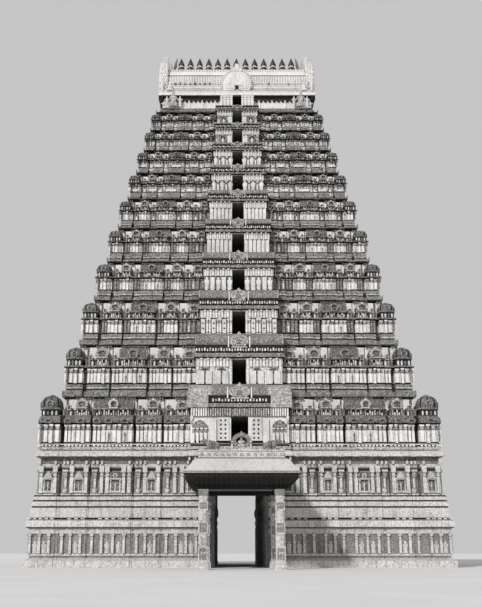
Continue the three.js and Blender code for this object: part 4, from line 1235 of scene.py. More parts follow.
def plinth(side):
    """Half of the plinth: two stages of mouldings, cut off at the gate."""
    work = Work()
    copies = side_copies(side)
    # Recessed bands are painted in the darker granite and the lines under the mouldings black, both as shade
    levels = [
        (0.0, 0.0, GRANITE), (0.66, 0.0, GRANITE), (0.7, -0.1, GRANITE), (0.9, -0.45, DARK_GRANITE_AND_SHADE),
        (1.1, -0.45, GRANITE), (1.12, -0.36, GRANITE), (1.3, -0.36, DARK_GRANITE_AND_SHADE), (1.32, -0.45, DARK_GRANITE_AND_SHADE),
        (3.16, -0.45, GRANITE), (3.18, -0.34, GRANITE), (3.5, -0.34, GRANITE), (3.66, -0.3, PAINTED_SHADE),
        (3.74, -0.08, DARK_GRANITE_AND_SHADE), (3.8, 0.0, GRANITE), (4.16, -0.02, GRANITE), (4.4, -0.1, DARK_GRANITE_AND_SHADE),
        (4.52, -0.32, PAINTED_SHADE), (4.56, -0.5, PAINTED_SHADE), (4.66, -0.5, GRANITE), (4.7, -0.4, GRANITE),
        (5.08, -0.36, GRANITE), (5.62, -0.36, PAINTED_SHADE), (5.68, -0.46, PAINTED_SHADE), (5.76, -0.46, GRANITE),
        (5.8, -0.4, GRANITE), (6.22, -0.4, PAINTED_SHADE), (6.27, -0.52, PAINTED_SHADE), (6.35, -0.52, GRANITE),
        (6.38, -0.44, GRANITE), (6.7, -0.44, PAINTED_SHADE), (6.76, -0.56, PAINTED_SHADE), (PLINTH_TOP, -0.6, GRANITE),
        (PLINTH_TOP + 0.01, -2.5, GRANITE),
    ]
    front, flank = base_bays(True, BASE_HALF_WIDTH), base_bays(False, BASE_HALF_DEPTH)
    for bays, depth, matrix in ((front, BASE_HALF_DEPTH, FRONT), (flank, BASE_HALF_WIDTH, SIDE)):
        work.add(courses(bays, depth, levels, 0.08), None, matrix, copies)
        for form, spots in (
            (STONE_PILASTER, row(bays, depth, -0.45, 1.32, 0.95, (0.3, 0.22, 1.84))),
            (STONE_FIGURE, row(bays, depth, -0.46, 1.36, 0.95, (1.1, 0.5, 1.15), BROAD, 0.5)),
            (STONE_NASI, row(bays, depth, -0.12, 3.82, 1.2, (0.36, 0.1, 0.4), BROAD)),
            (STONE_DENTIL, row(bays, depth, -0.42, 4.53, 0.6, (0.34, 0.1, 0.12), BROAD)),
        ):
            work.add(form, spots, matrix, copies)
    bottom = outline(front, BASE_HALF_DEPTH, 0.0, 0.08)
    bottom += [(-y, -x) for x, y in reversed(outline(flank, BASE_HALF_WIDTH, 0.0, 0.08))][1:]
    work.add(flat_face([(x, y, 0) for x, y in bottom + [(GATE_HALF, 0)]]), copies=copies)
    gate_side(work, levels, BASE_HALF_DEPTH, 0, PLINTH_TOP, 14.5, 0.62, copies)
    return work


def niche(roofed, half, z0, z1):
    """A wall shrine: a recess painted dark as shade between posts, with a figure in it, under a small roof.
    """
    head = z0 + 0.58 * (z1 - z0)
    tall = z1 - head - 0.1
    if roofed:
        roof = barrel_roof(0.95 * half, 0.5, tall, 0.16).placed(at(z=head + 0.1))
        spot = at(0, -0.24, head + 0.1 + 0.14 * tall, 0.7 * tall, 0.1, 0.66 * tall)
        roof = joined([roof, STONE_NASI.placed(spot)])
    else:
        profile = [
            (1.1, 0), (1.15, 0.1), (0.8, 0.22), (0.92, 0.3), (0.92, 0.38), (0.6, 0.5), (0.7, 0.58),
            (0.7, 0.64), (0.3, 0.76), (0.36, 0.84), (0.06, 1),
        ]
        roof = turned(profile, 4, GRANITE, 1.0).placed(at(0, 0, head + 0.1, 0.76 * half, 0.34, tall))
    posts = [at(side * 0.76 * half, 0, z0, 0.26 * half + 0.04, height=head - z0) for side in (-1, 1)]
    return joined([
        box((-0.62 * half, 0.62 * half), (-0.06, 0.02), (z0, head), ROOF),
        box((-half, half), (-0.24, 0.0), (z0 - 0.16, z0), GRANITE),
        box((-half, half), (-0.3, 0.0), (head, head + 0.1), GRANITE),
        STONE_PILASTER.placed(posts),
        STONE_FIGURE.placed(at(0, -0.1, z0, 0.6 * half, 0.3, 0.86 * (head - z0))),
        roof,
    ])


def base_wall(side):
    """Half of the storey wall over the plinth: tall pilasters, niches and brackets in granite."""
    work = Work()
    copies = side_copies(side)
    z0, z1, bracket = PLINTH_TOP, WALL_TOP, 9.24
    foot, depth, width = z0 + 0.2, BASE_HALF_DEPTH - WALL_STEP, FIRST_HALF_WIDTH - BASE_INSET
    tall = bracket - foot + 0.08
    # The recessed wall is painted in the darker granite and the band among the brackets black, both as shade;
    # slots are painted dark as shade
    levels = [
        (z0, 0.0, GRANITE), (z0 + 0.16, 0.0, GRANITE), (foot, -0.14, DARK_GRANITE_AND_SHADE), (bracket, -0.14, PAINTED_SHADE),
        (9.5, -0.14, DARK_GRANITE_AND_SHADE), (9.62, -0.06, GRANITE), (z1, -0.02, GRANITE),
    ]
    front, flank = (base_bays(True, width), depth, FRONT), (base_bays(False, depth), width, SIDE)
    for bays, reach, matrix in (front, flank):
        work.add(courses(bays, reach, levels, 0.3, {"slot": ROOF}), None, matrix, copies)
        for bay in bays:
            if bay.kind == "slot":
                continue
            face = -(reach + bay.proud - 0.14)
            middle = (bay.x0 + bay.x1) / 2
            half = (bay.x1 - bay.x0) / 2
            if bay.kind == "pavilion":
                work.add(STONE_POT, at(middle, face, foot, 0.56, height=tall), matrix, copies)
                continue
            steps = [0.26 - half, half - 0.26] + ([-0.5 * half, 0.5 * half] if half > 1.3 else [])
            posts = [at(middle + step, face, foot, 0.4, 0.3, tall) for step in steps]
            corbels = [at(middle + step, face, bracket - 0.12, 0.44, 0.3, 0.6) for step in steps]
            shrine = niche(bay.kind == "barrel", min(0.6, 0.56 * half), z0 + 0.42, bracket - 0.05)
            for form, spots in ((STONE_PILASTER, posts), (STONE_DENTIL, corbels), (shrine, at(middle, face))):
                work.add(form, spots, matrix, copies)
    gate_side(work, levels, depth, z0, GATE_CEILING, 13.9, 0.5, copies)
    return work


def gate_ceiling():
    """The ceiling stones over the passage, with cross beams."""
    work = Work()
    half, face = GATE_HALF + 0.48, BASE_HALF_DEPTH - WALL_STEP - 0.01
    # The ceiling and beams are painted in the darker granite as the shade in the passage
    work.once(box((-half, half), (-face, face), (GATE_CEILING, WALL_TOP - 0.01), DARK_GRANITE_AND_SHADE))
    levels = (GATE_CEILING - 0.3, GATE_CEILING + 0.1)
    for y in np.linspace(0.5 - face, face - 0.5, 8):
        work.once(box((-GATE_HALF, GATE_HALF), (y - 0.3, y + 0.3), levels, DARK_GRANITE_AND_SHADE))
    return work


def base_cornice(storey):
    """The main cornice of granite, with brackets over a band painted dark as the shade under it and a carved
    frieze over it.
    """
    work = Work()
    z0, top = WALL_TOP, storey.slab_top
    levels = [(z0 + 0.01, -0.56, DARK_GRANITE_AND_SHADE), (10.1, -0.5, ROOF), (10.5, -0.5, ROOF)]
    levels += kapota(10.6, 0.62, 0.0, -0.3, GRANITE, ROOF)
    levels += [
        (11.24, -0.5, PAINTED_SHADE), (11.3, -0.5, DARK_GRANITE_AND_SHADE), (11.32, -0.34, ORNAMENT), (11.62, -0.34, PAINTED_SHADE),
        (11.66, -0.5, PAINTED_SHADE), (11.8, -0.4, PLASTER), (top, -0.38, PLASTER), (top, -2.5, PLASTER),
    ]
    for bays, depth, matrix in storey.faces():
        bays = [bay._replace(proud=0.5 * bay.proud) for bay in bays]
        work.add(courses(bays, depth, levels, 0.06), None, matrix)
        for bay in bays:
            if bay.kind != "slot":
                half = (bay.x1 - bay.x0) / 2
                inset = min(0.26, 0.5 * half)
                y = -(depth + bay.proud - 0.56)
                ends = [at(x, y, z0, 0.2, 0.3, 0.3) for x in (bay.x0 + inset, bay.x1 - inset)]
                work.add(STONE_DENTIL, ends, matrix)
        for form, spots in (
            (STONE_NASI, row(bays, depth, -0.1, 10.62, 1.9, (0.5, 0.1, 0.4))),
            (STONE_FIGURE, row(bays, depth, -0.36, 11.32, 0.4, (0.36, 0.2, 0.3))),
            (DENTIL, row(bays, depth, -0.44, 11.66, 0.36, (0.2, 0.1, 0.13))),
        ):
            work.add(form, spots, matrix)
    depth = storey.half_depth + BASE_CENTRE_PROUD
    work.add(centred_courses(0, storey.centre, depth, 10.0, levels))
    for x in spread(0, storey.centre, 9):
        work.add(STONE_DENTIL, at(x, 0.5 - depth, 10.2, 0.2, 0.3, 0.4))
        work.add(STONE_FIGURE, at(x, 0.34 - depth, 11.32, 0.4, 0.22, 0.3))
    x, y = storey.half_width - 1, storey.half_depth - 1
    work.once(box((-x, x), (-y, y), (z0 + 0.02, top - 0.01), PAINTED_SHADE))
    return work


# Porch

PORCH_EAVE = 4.95
PORCH_REACH = 9.6
PORCH_OVERHANG = 1.27
PORCH_TOP_HALF = 3.8
PORCH_ROOF_TOP = 9.4
PARAPET_TOP = 10.1
SOFFIT = 7.1
EAVE_EDGE = 8.0
COLUMN_HALF = 0.41
BEAM_UNDERSIDE = 6.7
PORCH_FRONT = -BASE_HALF_DEPTH - PORCH_REACH
COLUMN_X = PORCH_EAVE - PORCH_OVERHANG - COLUMN_HALF
COLUMN_YS = {
    "front": PORCH_FRONT + PORCH_OVERHANG + COLUMN_HALF,
    "rear": -BASE_HALF_DEPTH - COLUMN_HALF - 0.3,
}


def porch_column(x, y):
    """A granite column of square blocks and chamfered shafts with reliefs on its faces."""
    work = Work()
    steps = [
        (0.53, 0.04, 0.0), (0.53, 0.04, 0.42), (0.46, 0.04, 0.5), (0.46, 0.04, 0.6), (0.41, 0.03, 0.66),
        (0.41, 0.03, 1.86), (0.38, 0.16, 1.94), (0.38, 0.16, 2.9), (0.41, 0.03, 2.98), (0.41, 0.03, 3.9),
        (0.38, 0.16, 3.98), (0.38, 0.16, 4.86), (0.41, 0.03, 4.94), (0.41, 0.03, 5.62), (0.36, 0.12, 5.68),
        (0.36, 0.12, 5.8), (0.42, 0.1, 5.98), (0.38, 0.08, 6.12), (0.43, 0.05, 6.3), (0.45, 0.03, 6.5),
        (0.45, 0.03, 6.69),
    ]
    rings = []
    for a, cut, z in steps:
        b = a - cut
        corners = [(a, -b), (a, b), (b, a), (-b, a), (-a, b), (-a, -b), (-b, -a), (b, -a)]
        rings.append([(px, py, z) for px, py in corners])
    # The top of the capital is painted in the darker granite as the shade under the porch roof
    work.once(loft(rings, [GRANITE] * 17 + [DARK_GRANITE_AND_SHADE] * 3, low_cap=True, high_cap=True), at(x, y))
    panel, face = COLUMN_HALF - 0.1, 0.03 - COLUMN_HALF
    rosette = turned([(0.17, 0), (0.17, 0.03), (0.11, 0.035), (0.11, 0.02), (0.05, 0.06)], 10, GRANITE)
    carving = []
    for z, tall in ((0.78, 0.98), (3.06, 0.78), (5.02, 0.54)):
        ys = (-COLUMN_HALF - 0.006, 0.05 - COLUMN_HALF)
        carving.append(box((-panel, panel), ys, (z, z + tall), DARK_GRANITE_AND_SHADE))
        for step in (-0.1, 0.12):
            carving.append(STONE_FIGURE.placed(at(step, face, z + 0.03, 0.5 * tall, 0.26, 0.9 * tall)))
    for z in (2.2, 2.6, 4.2, 4.6):
        carving.append(rosette.placed(at(0, face, z) @ spin(math.pi / 2, "X")))
    work.once(joined(carving), [at(x, y, turn=quarter * math.pi / 2) for quarter in range(4)])
    return work


def porch_beam(y):
    """A cross beam of the porch with a carved face, painted black as the shade under the porch roof."""
    work = Work()
    half = COLUMN_X + COLUMN_HALF + 0.3
    for deep, low in ((0.36, BEAM_UNDERSIDE), (0.41, SOFFIT - 0.14)):
        work.once(box((-half, half), (y - deep, y + deep), (low, SOFFIT - 0.01), PAINTED_SHADE))
    teeth = [at(x, -0.36, BEAM_UNDERSIDE + 0.03, 0.2, 0.12, 0.22) for x in spread(-half, half, 20)]
    for turn in (0, math.pi):
        work.once(PAINTED_SHADE_DENTIL, [at(0, y, turn=turn) @ tooth for tooth in teeth])
    return work


def porch_courses(back, steps):
    """A skin round the porch roof's left, front and right sides from (half-width, z, finish) steps."""
    rings = []
    for half, z, _ in steps:
        front = PORCH_FRONT + PORCH_EAVE - half
        rings.append([(-half, back, z), (-half, front, z), (half, front, z), (half, back, z)])
    return loft(rings, [finish for _, _, finish in steps[:-1]], closed=False)


def porch_roof():
    """The porch's stone roof: beams and rafters under it, a flared eave and a curved slope."""
    work = Work()
    back = -BASE_HALF_DEPTH + 0.86
    # The soffit and rafters are painted black and the core in the darker granite, as shade
    work.once(porch_courses(back, [
        (3.0, SOFFIT, PAINTED_SHADE), (4.0, SOFFIT, PAINTED_SHADE), (4.3, 7.3, PAINTED_SHADE), (4.7, 7.56, PAINTED_SHADE),
        (4.93, EAVE_EDGE - 0.04, GRANITE), (4.95, EAVE_EDGE, DARK_GRANITE_AND_SHADE), (4.94, 8.13, SLOPE), (4.8, 8.26, SLOPE),
        (4.58, 8.48, SLOPE), (4.36, 8.76, SLOPE), (4.16, 9.08, SLOPE), (3.98, 9.26, DARK_GRANITE_AND_SHADE),
        (PORCH_TOP_HALF, 9.32, DARK_GRANITE_AND_SHADE), (PORCH_TOP_HALF, PORCH_ROOF_TOP, GRANITE),
        (3.0, PORCH_ROOF_TOP, GRANITE),
    ]))
    work.once(box((-3.0, 3.0), (PORCH_FRONT + 1.9, back), (SOFFIT, PORCH_ROOF_TOP), DARK_GRANITE_AND_SHADE))
    rings = []
    for y, low, high in ((0.0, -0.12, 0.02), (-0.88, 0.5, 0.66)):
        rings.append([(-0.07, y, low), (0.07, y, low), (0.07, y, high), (-0.07, y, high)])
    rafter = loft(rings, PAINTED_SHADE, low_cap=True, high_cap=True)
    front = PORCH_FRONT + PORCH_EAVE - 4.0
    work.once(rafter, [at(x, front, SOFFIT) for x in np.arange(-3.8, 3.9, 0.42)])
    for side in (-1, 1):
        ys = np.arange(front + 0.2, back, 0.42)
        work.once(rafter, [at(side * 4.0, y, SOFFIT, turn=side * math.pi / 2) for y in ys])
    return work


def porch_parapet():
    """The low carved parapet round the porch roof, with a row of small arches on it."""
    work = Work()
    back = -BASE_HALF_DEPTH - 0.2
    half = PORCH_TOP_HALF - 0.08
    front = PORCH_FRONT + PORCH_EAVE - half
    z0, z1 = PORCH_ROOF_TOP + 0.01, PARAPET_TOP
    work.once(porch_courses(back, [
        (half, z0, GRANITE), (half, z0 + 0.12, DARK_GRANITE_AND_SHADE), (half - 0.06, z0 + 0.14, GRANITE),
        (half - 0.06, z1 - 0.18, DARK_GRANITE_AND_SHADE), (half, z1 - 0.14, GRANITE), (half, z1, GRANITE),
        (half - 0.35, z1, GRANITE), (half - 0.35, z0, GRANITE),
    ]))
    size = (z0 + 0.15, 0.3, 0.12, 0.34)
    work.once(PALE_STONE_NASI, [at(x, front + 0.07, *size) for x in np.linspace(0.3 - half, half - 0.3, 13)])
    for side in (-1, 1):
        ys = np.arange(front + 0.4, back - 0.2, 0.55)
        work.once(PALE_STONE_NASI, [at(side * (half - 0.07), y, *size, side * math.pi / 2) for y in ys])
    return work


def porch_niche():
    """The arched niche on the parapet, with a generic seated figure and flames along its edge."""
    work = Work()
    y, z = PORCH_FRONT + PORCH_EAVE - PORCH_TOP_HALF + 0.42, PARAPET_TOP
    work.once(box((-0.86, 0.86), (y - 0.34, y), (z, z + 0.22), ORNAMENT))
    work.once(horseshoe(DARK_GRANITE_AND_SHADE, PAINTED_SHADE, 15), at(0, y, z + 0.16, 1.66, 0.3, 1.4))
    work.once(figure(ORNAMENT, 10, seated=True), at(0, y - 0.2, z + 0.24, 0.9, 0.6, 0.86))
    leaf = along(Y, [(-0.09, 0), (0.09, 0), (0.07, 0.06), (0, 0.1), (-0.07, 0.06)], 0, -0.2, DARK_GRANITE_AND_SHADE)
    for angle in np.radians(np.arange(13) * 19 - 24):
        place = at(0.76 * math.cos(angle), y, z + 0.78 + 0.62 * math.sin(angle))
        work.once(leaf, place @ spin(math.pi / 2 - angle, "Y"))
    work.once(PILASTER, [at(x, y - 0.1, z, 0.16, 0.16, 0.7) for x in (-0.82, 0.82)])
    return work


def limb(sections, steps, finish=DARK_GRANITE_AND_SHADE):
    """A rounded body along X from (x, z, half-breadth, half-height) sections."""
    turn = np.arange(steps) / steps * 2 * math.pi
    rings = []
    for x, z, broad, high in sections:
        rings.append(np.stack([np.full(steps, x), broad * np.cos(turn), z + high * np.sin(turn)], 1))
    return loft(rings, finish, low_cap=True, high_cap=True)


def porch_bull(side):
    """A recumbent bull on the parapet, looking outwards."""
    work = Work()
    parts = [
        box((-0.75, 0.7), (-0.26, 0.26), (0, 0.08), CORNICE),
        turned([(0.16, 0), (0.14, 0.1), (0.06, 0.18)], 8, DARK_GRANITE_AND_SHADE).placed(at(0.12, 0, 0.66)),
    ]
    for sections, steps, finish in (
        # Body, neck and head, cloth, collar, tail
        ([(-0.72, 0.3, 0.06, 0.1), (-0.6, 0.34, 0.2, 0.28), (-0.3, 0.36, 0.24, 0.33), (0.1, 0.38, 0.24, 0.34),
          (0.3, 0.44, 0.22, 0.36), (0.45, 0.5, 0.16, 0.26)], 10, DARK_GRANITE_AND_SHADE),
        ([(0.3, 0.55, 0.2, 0.26), (0.5, 0.68, 0.16, 0.2), (0.62, 0.8, 0.14, 0.16), (0.78, 0.78, 0.11, 0.12),
          (0.96, 0.7, 0.07, 0.07)], 8, DARK_GRANITE_AND_SHADE),
        ([(-0.34, 0.38, 0.2, 0.3), (-0.3, 0.39, 0.265, 0.365), (0.02, 0.41, 0.265, 0.37),
          (0.06, 0.41, 0.2, 0.3)], 10, ROOF),
        ([(0.44, 0.64, 0.14, 0.2), (0.48, 0.66, 0.2, 0.25), (0.52, 0.7, 0.14, 0.18)], 8, CORNICE),
        ([(-0.74, 0.46, 0.03, 0.03), (-0.78, 0.3, 0.03, 0.03), (-0.72, 0.12, 0.05, 0.05)], 6, DARK_GRANITE_AND_SHADE),
    ):
        parts.append(limb(sections, steps, finish))
    for s in (-1, 1):
        rings = [[(0.6, s * 0.12, 0.9), (0.66, s * 0.12, 0.9), (0.63, s * 0.17, 0.92)],
                 [(0.6, s * 0.2, 1.02), (0.62, s * 0.2, 1.02), (0.61, s * 0.22, 1.02)]]
        parts.append(loft(rings, DARK_GRANITE_AND_SHADE))
        for x in (-0.55, 0.15):
            leg = limb([(x, 0.07, 0.07, 0.07), (x + 0.24, 0.08, 0.06, 0.07), (x + 0.5, 0.05, 0.05, 0.05)], 6)
            parts.append(leg.placed(at(0, s * 0.2)))
    y = PORCH_FRONT + PORCH_EAVE - PORCH_TOP_HALF + 0.3
    work.once(joined(parts), at(side * 2.6, y, PARAPET_TOP) @ np.diag([side, 1, 1, 1.0]))
    return work


# Roof

EAVE_RISE = 1.15
EAVE_HALF_WIDTH = 9.9
EAVE_HALF_DEPTH = 4.3
VAULT_HALF = 8.75
VAULT_DEPTH = 3.6
VAULT_RISE = 5.1
# Height over the vault's foot where its ribs start
RIB_FOOT = 1.12
GABLE_THICKNESS = 1.05
GABLE_TOP = 65.8
ARCH_TOP = 62.3
FINIALS = 13
FINIAL_PITCH = 1.22


def eave_floor():
    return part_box("roof_eave")[0].z / SCALE


def vault_foot():
    return eave_floor() + EAVE_RISE


def crown_level():
    return vault_foot() + VAULT_RISE


def roof_eave():
    """The roof's eave: an underside painted black and a row of round shadows painted black under a rolled
    white band, and the figures near it.
    """
    work = Work()
    z0 = eave_floor()
    half_width, half_depth = EAVE_HALF_WIDTH, EAVE_HALF_DEPTH
    levels = [(z0 + z, out, finish) for z, out, finish in (
        (0.0, -1.4, PAINTED_SHADE), (0.02, -0.5, PAINTED_SHADE), (0.2, -0.1, ORNAMENT), (0.26, -0.01, LIME),
        (0.36, -0.01, LIME), (0.56, -0.05, LIME), (0.74, -0.16, LIME), (0.86, -0.32, PAINTED_SHADE), (0.9, -0.5, PAINTED_SHADE),
        (0.98, -0.5, LIME), (1.0, -0.42, LIME), (EAVE_RISE, -0.42, LIME), (EAVE_RISE, -1.2, LIME),
    )]
    shadow_lobe = [(0.5 * math.cos(angle), 0.5 * math.sin(angle)) for angle in np.linspace(math.pi, 2 * math.pi, 7)]
    scalloped_shadow = along(Y, shadow_lobe, 0.5, 0, PAINTED_SHADE)
    for reach, face, matrix in ((half_width, half_depth, FRONT), (half_depth, half_width, SIDE)):
        bays = [Bay("flat", 0.0, reach, 0.0)]
        work.add(courses(bays, face, levels), None, matrix)
        # Round black shapes hung under the eave, painted as its shadow on the wall
        work.add(scalloped_shadow, row(bays, face, -0.34, z0 + 0.16, 0.55, (0.54, 0.5, 1.36)), matrix)
        work.add(DENTIL, row(bays, face, -0.44, z0 + 0.9, 0.3, (0.16, 0.1, 0.08)), matrix)
    top, low, middle = z0 + EAVE_RISE - 0.02, z0 - 1.4, half_width - 1.9
    standing, seated = figure(FIGURE, 8), figure(FIGURE, 8, seated=True)
    work.add(standing, at(half_width - 0.45, 0.45 - half_depth, top, 1.3, 1.3, 1.9))
    work.add(seated, at(half_width - 1.4, 0.4 - half_depth, top, 1.1, 0.9, 1.3))
    work.add(seated.painted(ORNAMENT), at(middle, -half_depth, low, 1.5, 0.8, 2.4))
    work.add(standing, [at(middle + step, -half_depth, low, 1.1, 0.6, 1.5) for step in (-0.85, 0.8)])
    return work


def vault_section(depth, rise, base, steps=9):
    """(y, z) points of the vault's outside, from its front foot over the crown to its back foot."""
    swell = 0.2 * rise
    points = [(-0.985 * depth, base)]
    for angle in np.arange(steps + 1) / steps * math.pi / 2:
        points.append((-depth * math.cos(angle), base + swell + (rise - swell) * math.sin(angle)))
    return points + [(-y, z) for y, z in reversed(points[:-1])]


def vault_face(level):
    """How far the vault's outside stands from the ridge at a height over its foot."""
    swell = 0.2 * VAULT_RISE
    share = max(0.0, level - swell) / (VAULT_RISE - swell)
    return VAULT_DEPTH * math.sqrt(1 - share * share)


def roof_vault():
    """The great barrel vault with its close ribs and the string mouldings along its lower part."""
    work = Work()
    base = vault_foot()
    ribs = bpy.context.scene.gopuram.ribs
    pitch = 2 * VAULT_HALF / ribs
    section = vault_section(VAULT_DEPTH - 0.05, VAULT_RISE - 0.05, base)
    work.once(strip(section, -VAULT_HALF, VAULT_HALF, CORNICE))
    foot = (-vault_face(RIB_FOOT), base + RIB_FOOT)
    section = vault_section(VAULT_DEPTH - 0.01, VAULT_RISE - 0.01, base, 12)
    raised = [foot] + [point for point in section if point[1] > base + 1.2] + [(-foot[0], foot[1])]
    rings = []
    for across, narrow, drop in ((-0.4, 0.985, 0.03), (-0.3, 1, 0), (0.3, 1, 0), (0.4, 0.985, 0.03)):
        rings.append([(across * pitch, narrow * y, z - drop) for y, z in reversed(raised)])
    work.once(loft(rings, LIME, closed=False), [at(x) for x in spread(-VAULT_HALF, VAULT_HALF, ribs)])
    plain = [(-vault_face(level), base + level) for level in (0.0, 0.4, 0.8, 1.1)]
    plain.append((foot[0] + 0.08, foot[1]))
    cap = ((2.56, 0.06), (2.58, -0.03), (2.9, -0.02), (3.3, 0.0), (3.34, 0.06))
    cap = [(inset - vault_face(level), base + level) for level, inset in cap]
    bands = [(plain, GRANITE), (cap, LIME)]
    strings = ((2.53, 0.04, CORNICE), (1.14, 0.03, ORNAMENT), (0.6, 0.07, LIME), (0.26, 0.035, ORNAMENT))
    for level, half, finish in strings:
        low, high = level - half, level + half
        near, far = -vault_face(low), -vault_face(high)
        points = ((near, low), (near - 0.04, low + 0.01), (far - 0.04, high - 0.01), (far, high))
        bands.append(([(y, base + z) for y, z in points], finish))
    for points, finish in bands:
        work.both(strip(points, -VAULT_HALF, VAULT_HALF, finish))
    dashes = []
    for i, x in enumerate(spread(-VAULT_HALF, VAULT_HALF, ribs // 3)):
        if i < 9 or i % 4 == 0:
            size = ((0.8 + 0.5 * (i % 2)) * pitch, 0.12, 0.16 + 0.06 * (i % 3))
            dashes.append(at(x, 0.02 - vault_face(1.16), base + 1.04, *size))
    work.both(ROOF_DENTIL, dashes)
    return work


def crest_outline(half, z0, z1):
    """The horseshoe outline of a gable or dormer arch, anticlockwise."""
    shares = ((0.92, 0), (1.04, 0.14), (1.03, 0.36), (0.87, 0.56), (0.55, 0.7), (0.22, 0.78), (0.12, 1))
    return mirrored([(x * half, z0 + z * (z1 - z0)) for x, z in shares])


def arch_face(half, z0, z1, thick, hollow_finish, taper=0.0, flames=True):
    """A great horseshoe arch facing -Y at y=0: nested rings, a hollow, beads and flames along its edge.

    `taper` thins its top from both faces.
    """
    rise = z1 - z0
    outer = crest_outline(half, z0, z1)
    block = []
    for y, sign in ((thick, -1), (0, 1)):
        block.append([(x, y + sign * taper * thick * ((z - z0) / rise) ** 3, z) for x, z in outer])
    parts = [loft(block, LIME, low_cap=True, high_cap=True)]
    middle = np.array([0, z0 + 0.36 * rise])
    rim = crest_outline(half, z0, z0 + 0.9 * rise)
    rim = np.array([point for point in rim if point[1] < z0 + 0.72 * rise])
    for share, start, out, finish in (
        (0.96, 0.02, 0.1, LIME), (0.89, 0.02, 0.04, CORNICE), (0.83, 0.02, 0.14, FIGURE),
        (0.75, 0.02, 0.05, ROOF), (0.71, 0.02, 0.12, FIGURE), (0.6, 0.02, 0.05, CORNICE),
        (0.54, 0.0, 0.125, hollow_finish),
    ):
        parts.append(along(Y, middle + share * (rim - middle), start, -out, finish))
    parts.append(figure().placed(at(0, -0.14, z0 + 0.24 * rise, 0.5 * half, 0.3, 0.26 * rise)))
    profile = [(0.5, 0), (0.9, 0.2), (1.0, 0.45), (0.7, 0.7), (0.3, 0.85), (0.1, 1.0)]
    head = turned(profile, 8, FIGURE, flatness=0.4)
    heads = [(0.0, 0.7, 0.2, 0.24)] + [(side * 0.26, 0.68, 0.16, 0.16) for side in (-1, 1) if flames]
    for across, up, wide, tall in heads:
        parts.append(head.placed(at(across * half, -0.06, z0 + up * rise, wide * half, height=tall * rise)))
    leaf = np.array([(-0.1, -0.06), (0.1, -0.06), (0.08, 0.1), (0.0, 0.2), (-0.08, 0.1)])
    tongue = along(Y, 0.54 * half * leaf, min(thick, 1.05) - 0.1, -0.08, FIGURE)
    for (x0, h0), (x1, h1) in zip(outer[1:5], outer[2:6]) if flames else ():
        turn = spin(math.pi / 2 - math.atan2(x0 - x1, h1 - h0), "Y")
        for share in (0.15, 0.5, 0.85):
            place = at(x0 + share * (x1 - x0), 0, h0 + share * (h1 - h0))
            parts.append(tongue.placed(place @ turn).placed(HALVES))
    return joined(parts)


def roof_gable(side):
    """The horseshoe block at one end of the vault, with carved edges and two leaves over the ridge."""
    work = Work()
    base = vault_foot()
    face = arch_face(VAULT_DEPTH, base, GABLE_TOP, GABLE_THICKNESS, ROOF, 0.42, False)
    outer = VAULT_HALF + GABLE_THICKNESS
    work.once(face, at(side * outer, turn=side * math.pi / 2))
    edge = crest_outline(VAULT_DEPTH, base, GABLE_TOP)[:7]
    spots = []
    for (x0, h0), (x1, h1) in zip(edge, edge[1:]):
        steps = max(2, round(math.hypot(x1 - x0, h1 - h0) / 0.42))
        for share in np.arange(steps) / steps:
            depth, z = x0 + share * (x1 - x0), h0 + share * (h1 - h0)
            narrow = 1 - 1.2 * max(0.0, (z - base) / (GABLE_TOP - base) - 0.5)
            for place in (-1, 0, 1):
                wave = 0.06 * math.sin(7.0 * z + 2.0 * place)
                across = (0.33 * place + wave) * narrow
                big = (0.44 + wave) * (0.5 + 0.5 * narrow)
                spots.append(at(side * (outer - 0.52 + across), 0.06 - depth, z - 0.2, big, 0.5, 1.2 * big))
    work.both(GABLE_BOSS, spots)
    for leaf, finish in (
        ([(-0.08, 0), (0.1, 0), (0.42, 1.0), (0.48, 2.02), (0.14, 1.2)], ROOF),
        ([(-0.1, 0), (0.06, 0), (-0.14, 0.9), (-0.42, 1.65), (-0.38, 0.8)], ORNAMENT),
    ):
        points = [(-side * x, z) for x, z in leaf]
        crest = along(Y, points if side < 0 else points[::-1], 0.2, -0.2, finish)
        work.once(crest, at(side * (VAULT_HALF - 0.42), -0.3, crown_level() + 0.1))
    return work


def roof_arch(side):
    """The dormer arch on one face of the vault, with the small window in its foot."""
    work = Work()
    parts = [arch_face(1.75, vault_foot(), ARCH_TOP, 2.4, ORNAMENT)]
    # The window's hollow, painted black as shade, its two posts and its lintel
    for x0, x1, out, z0, z1, finish in (
        (-0.225, 0.225, 0.2, 58.55, 59.0, PAINTED_SHADE), (-0.36, -0.24, 0.24, 58.45, 59.12, FIGURE),
        (0.24, 0.36, 0.24, 58.45, 59.12, FIGURE), (-0.42, 0.42, 0.28, 59.02, 59.14, FIGURE),
    ):
        parts.append(box((x0, x1), (-out, 0.0), (z0, z1), finish))
    work.once(joined(parts), at(0, side * (VAULT_DEPTH + 0.25), turn=0 if side < 0 else math.pi))
    return work


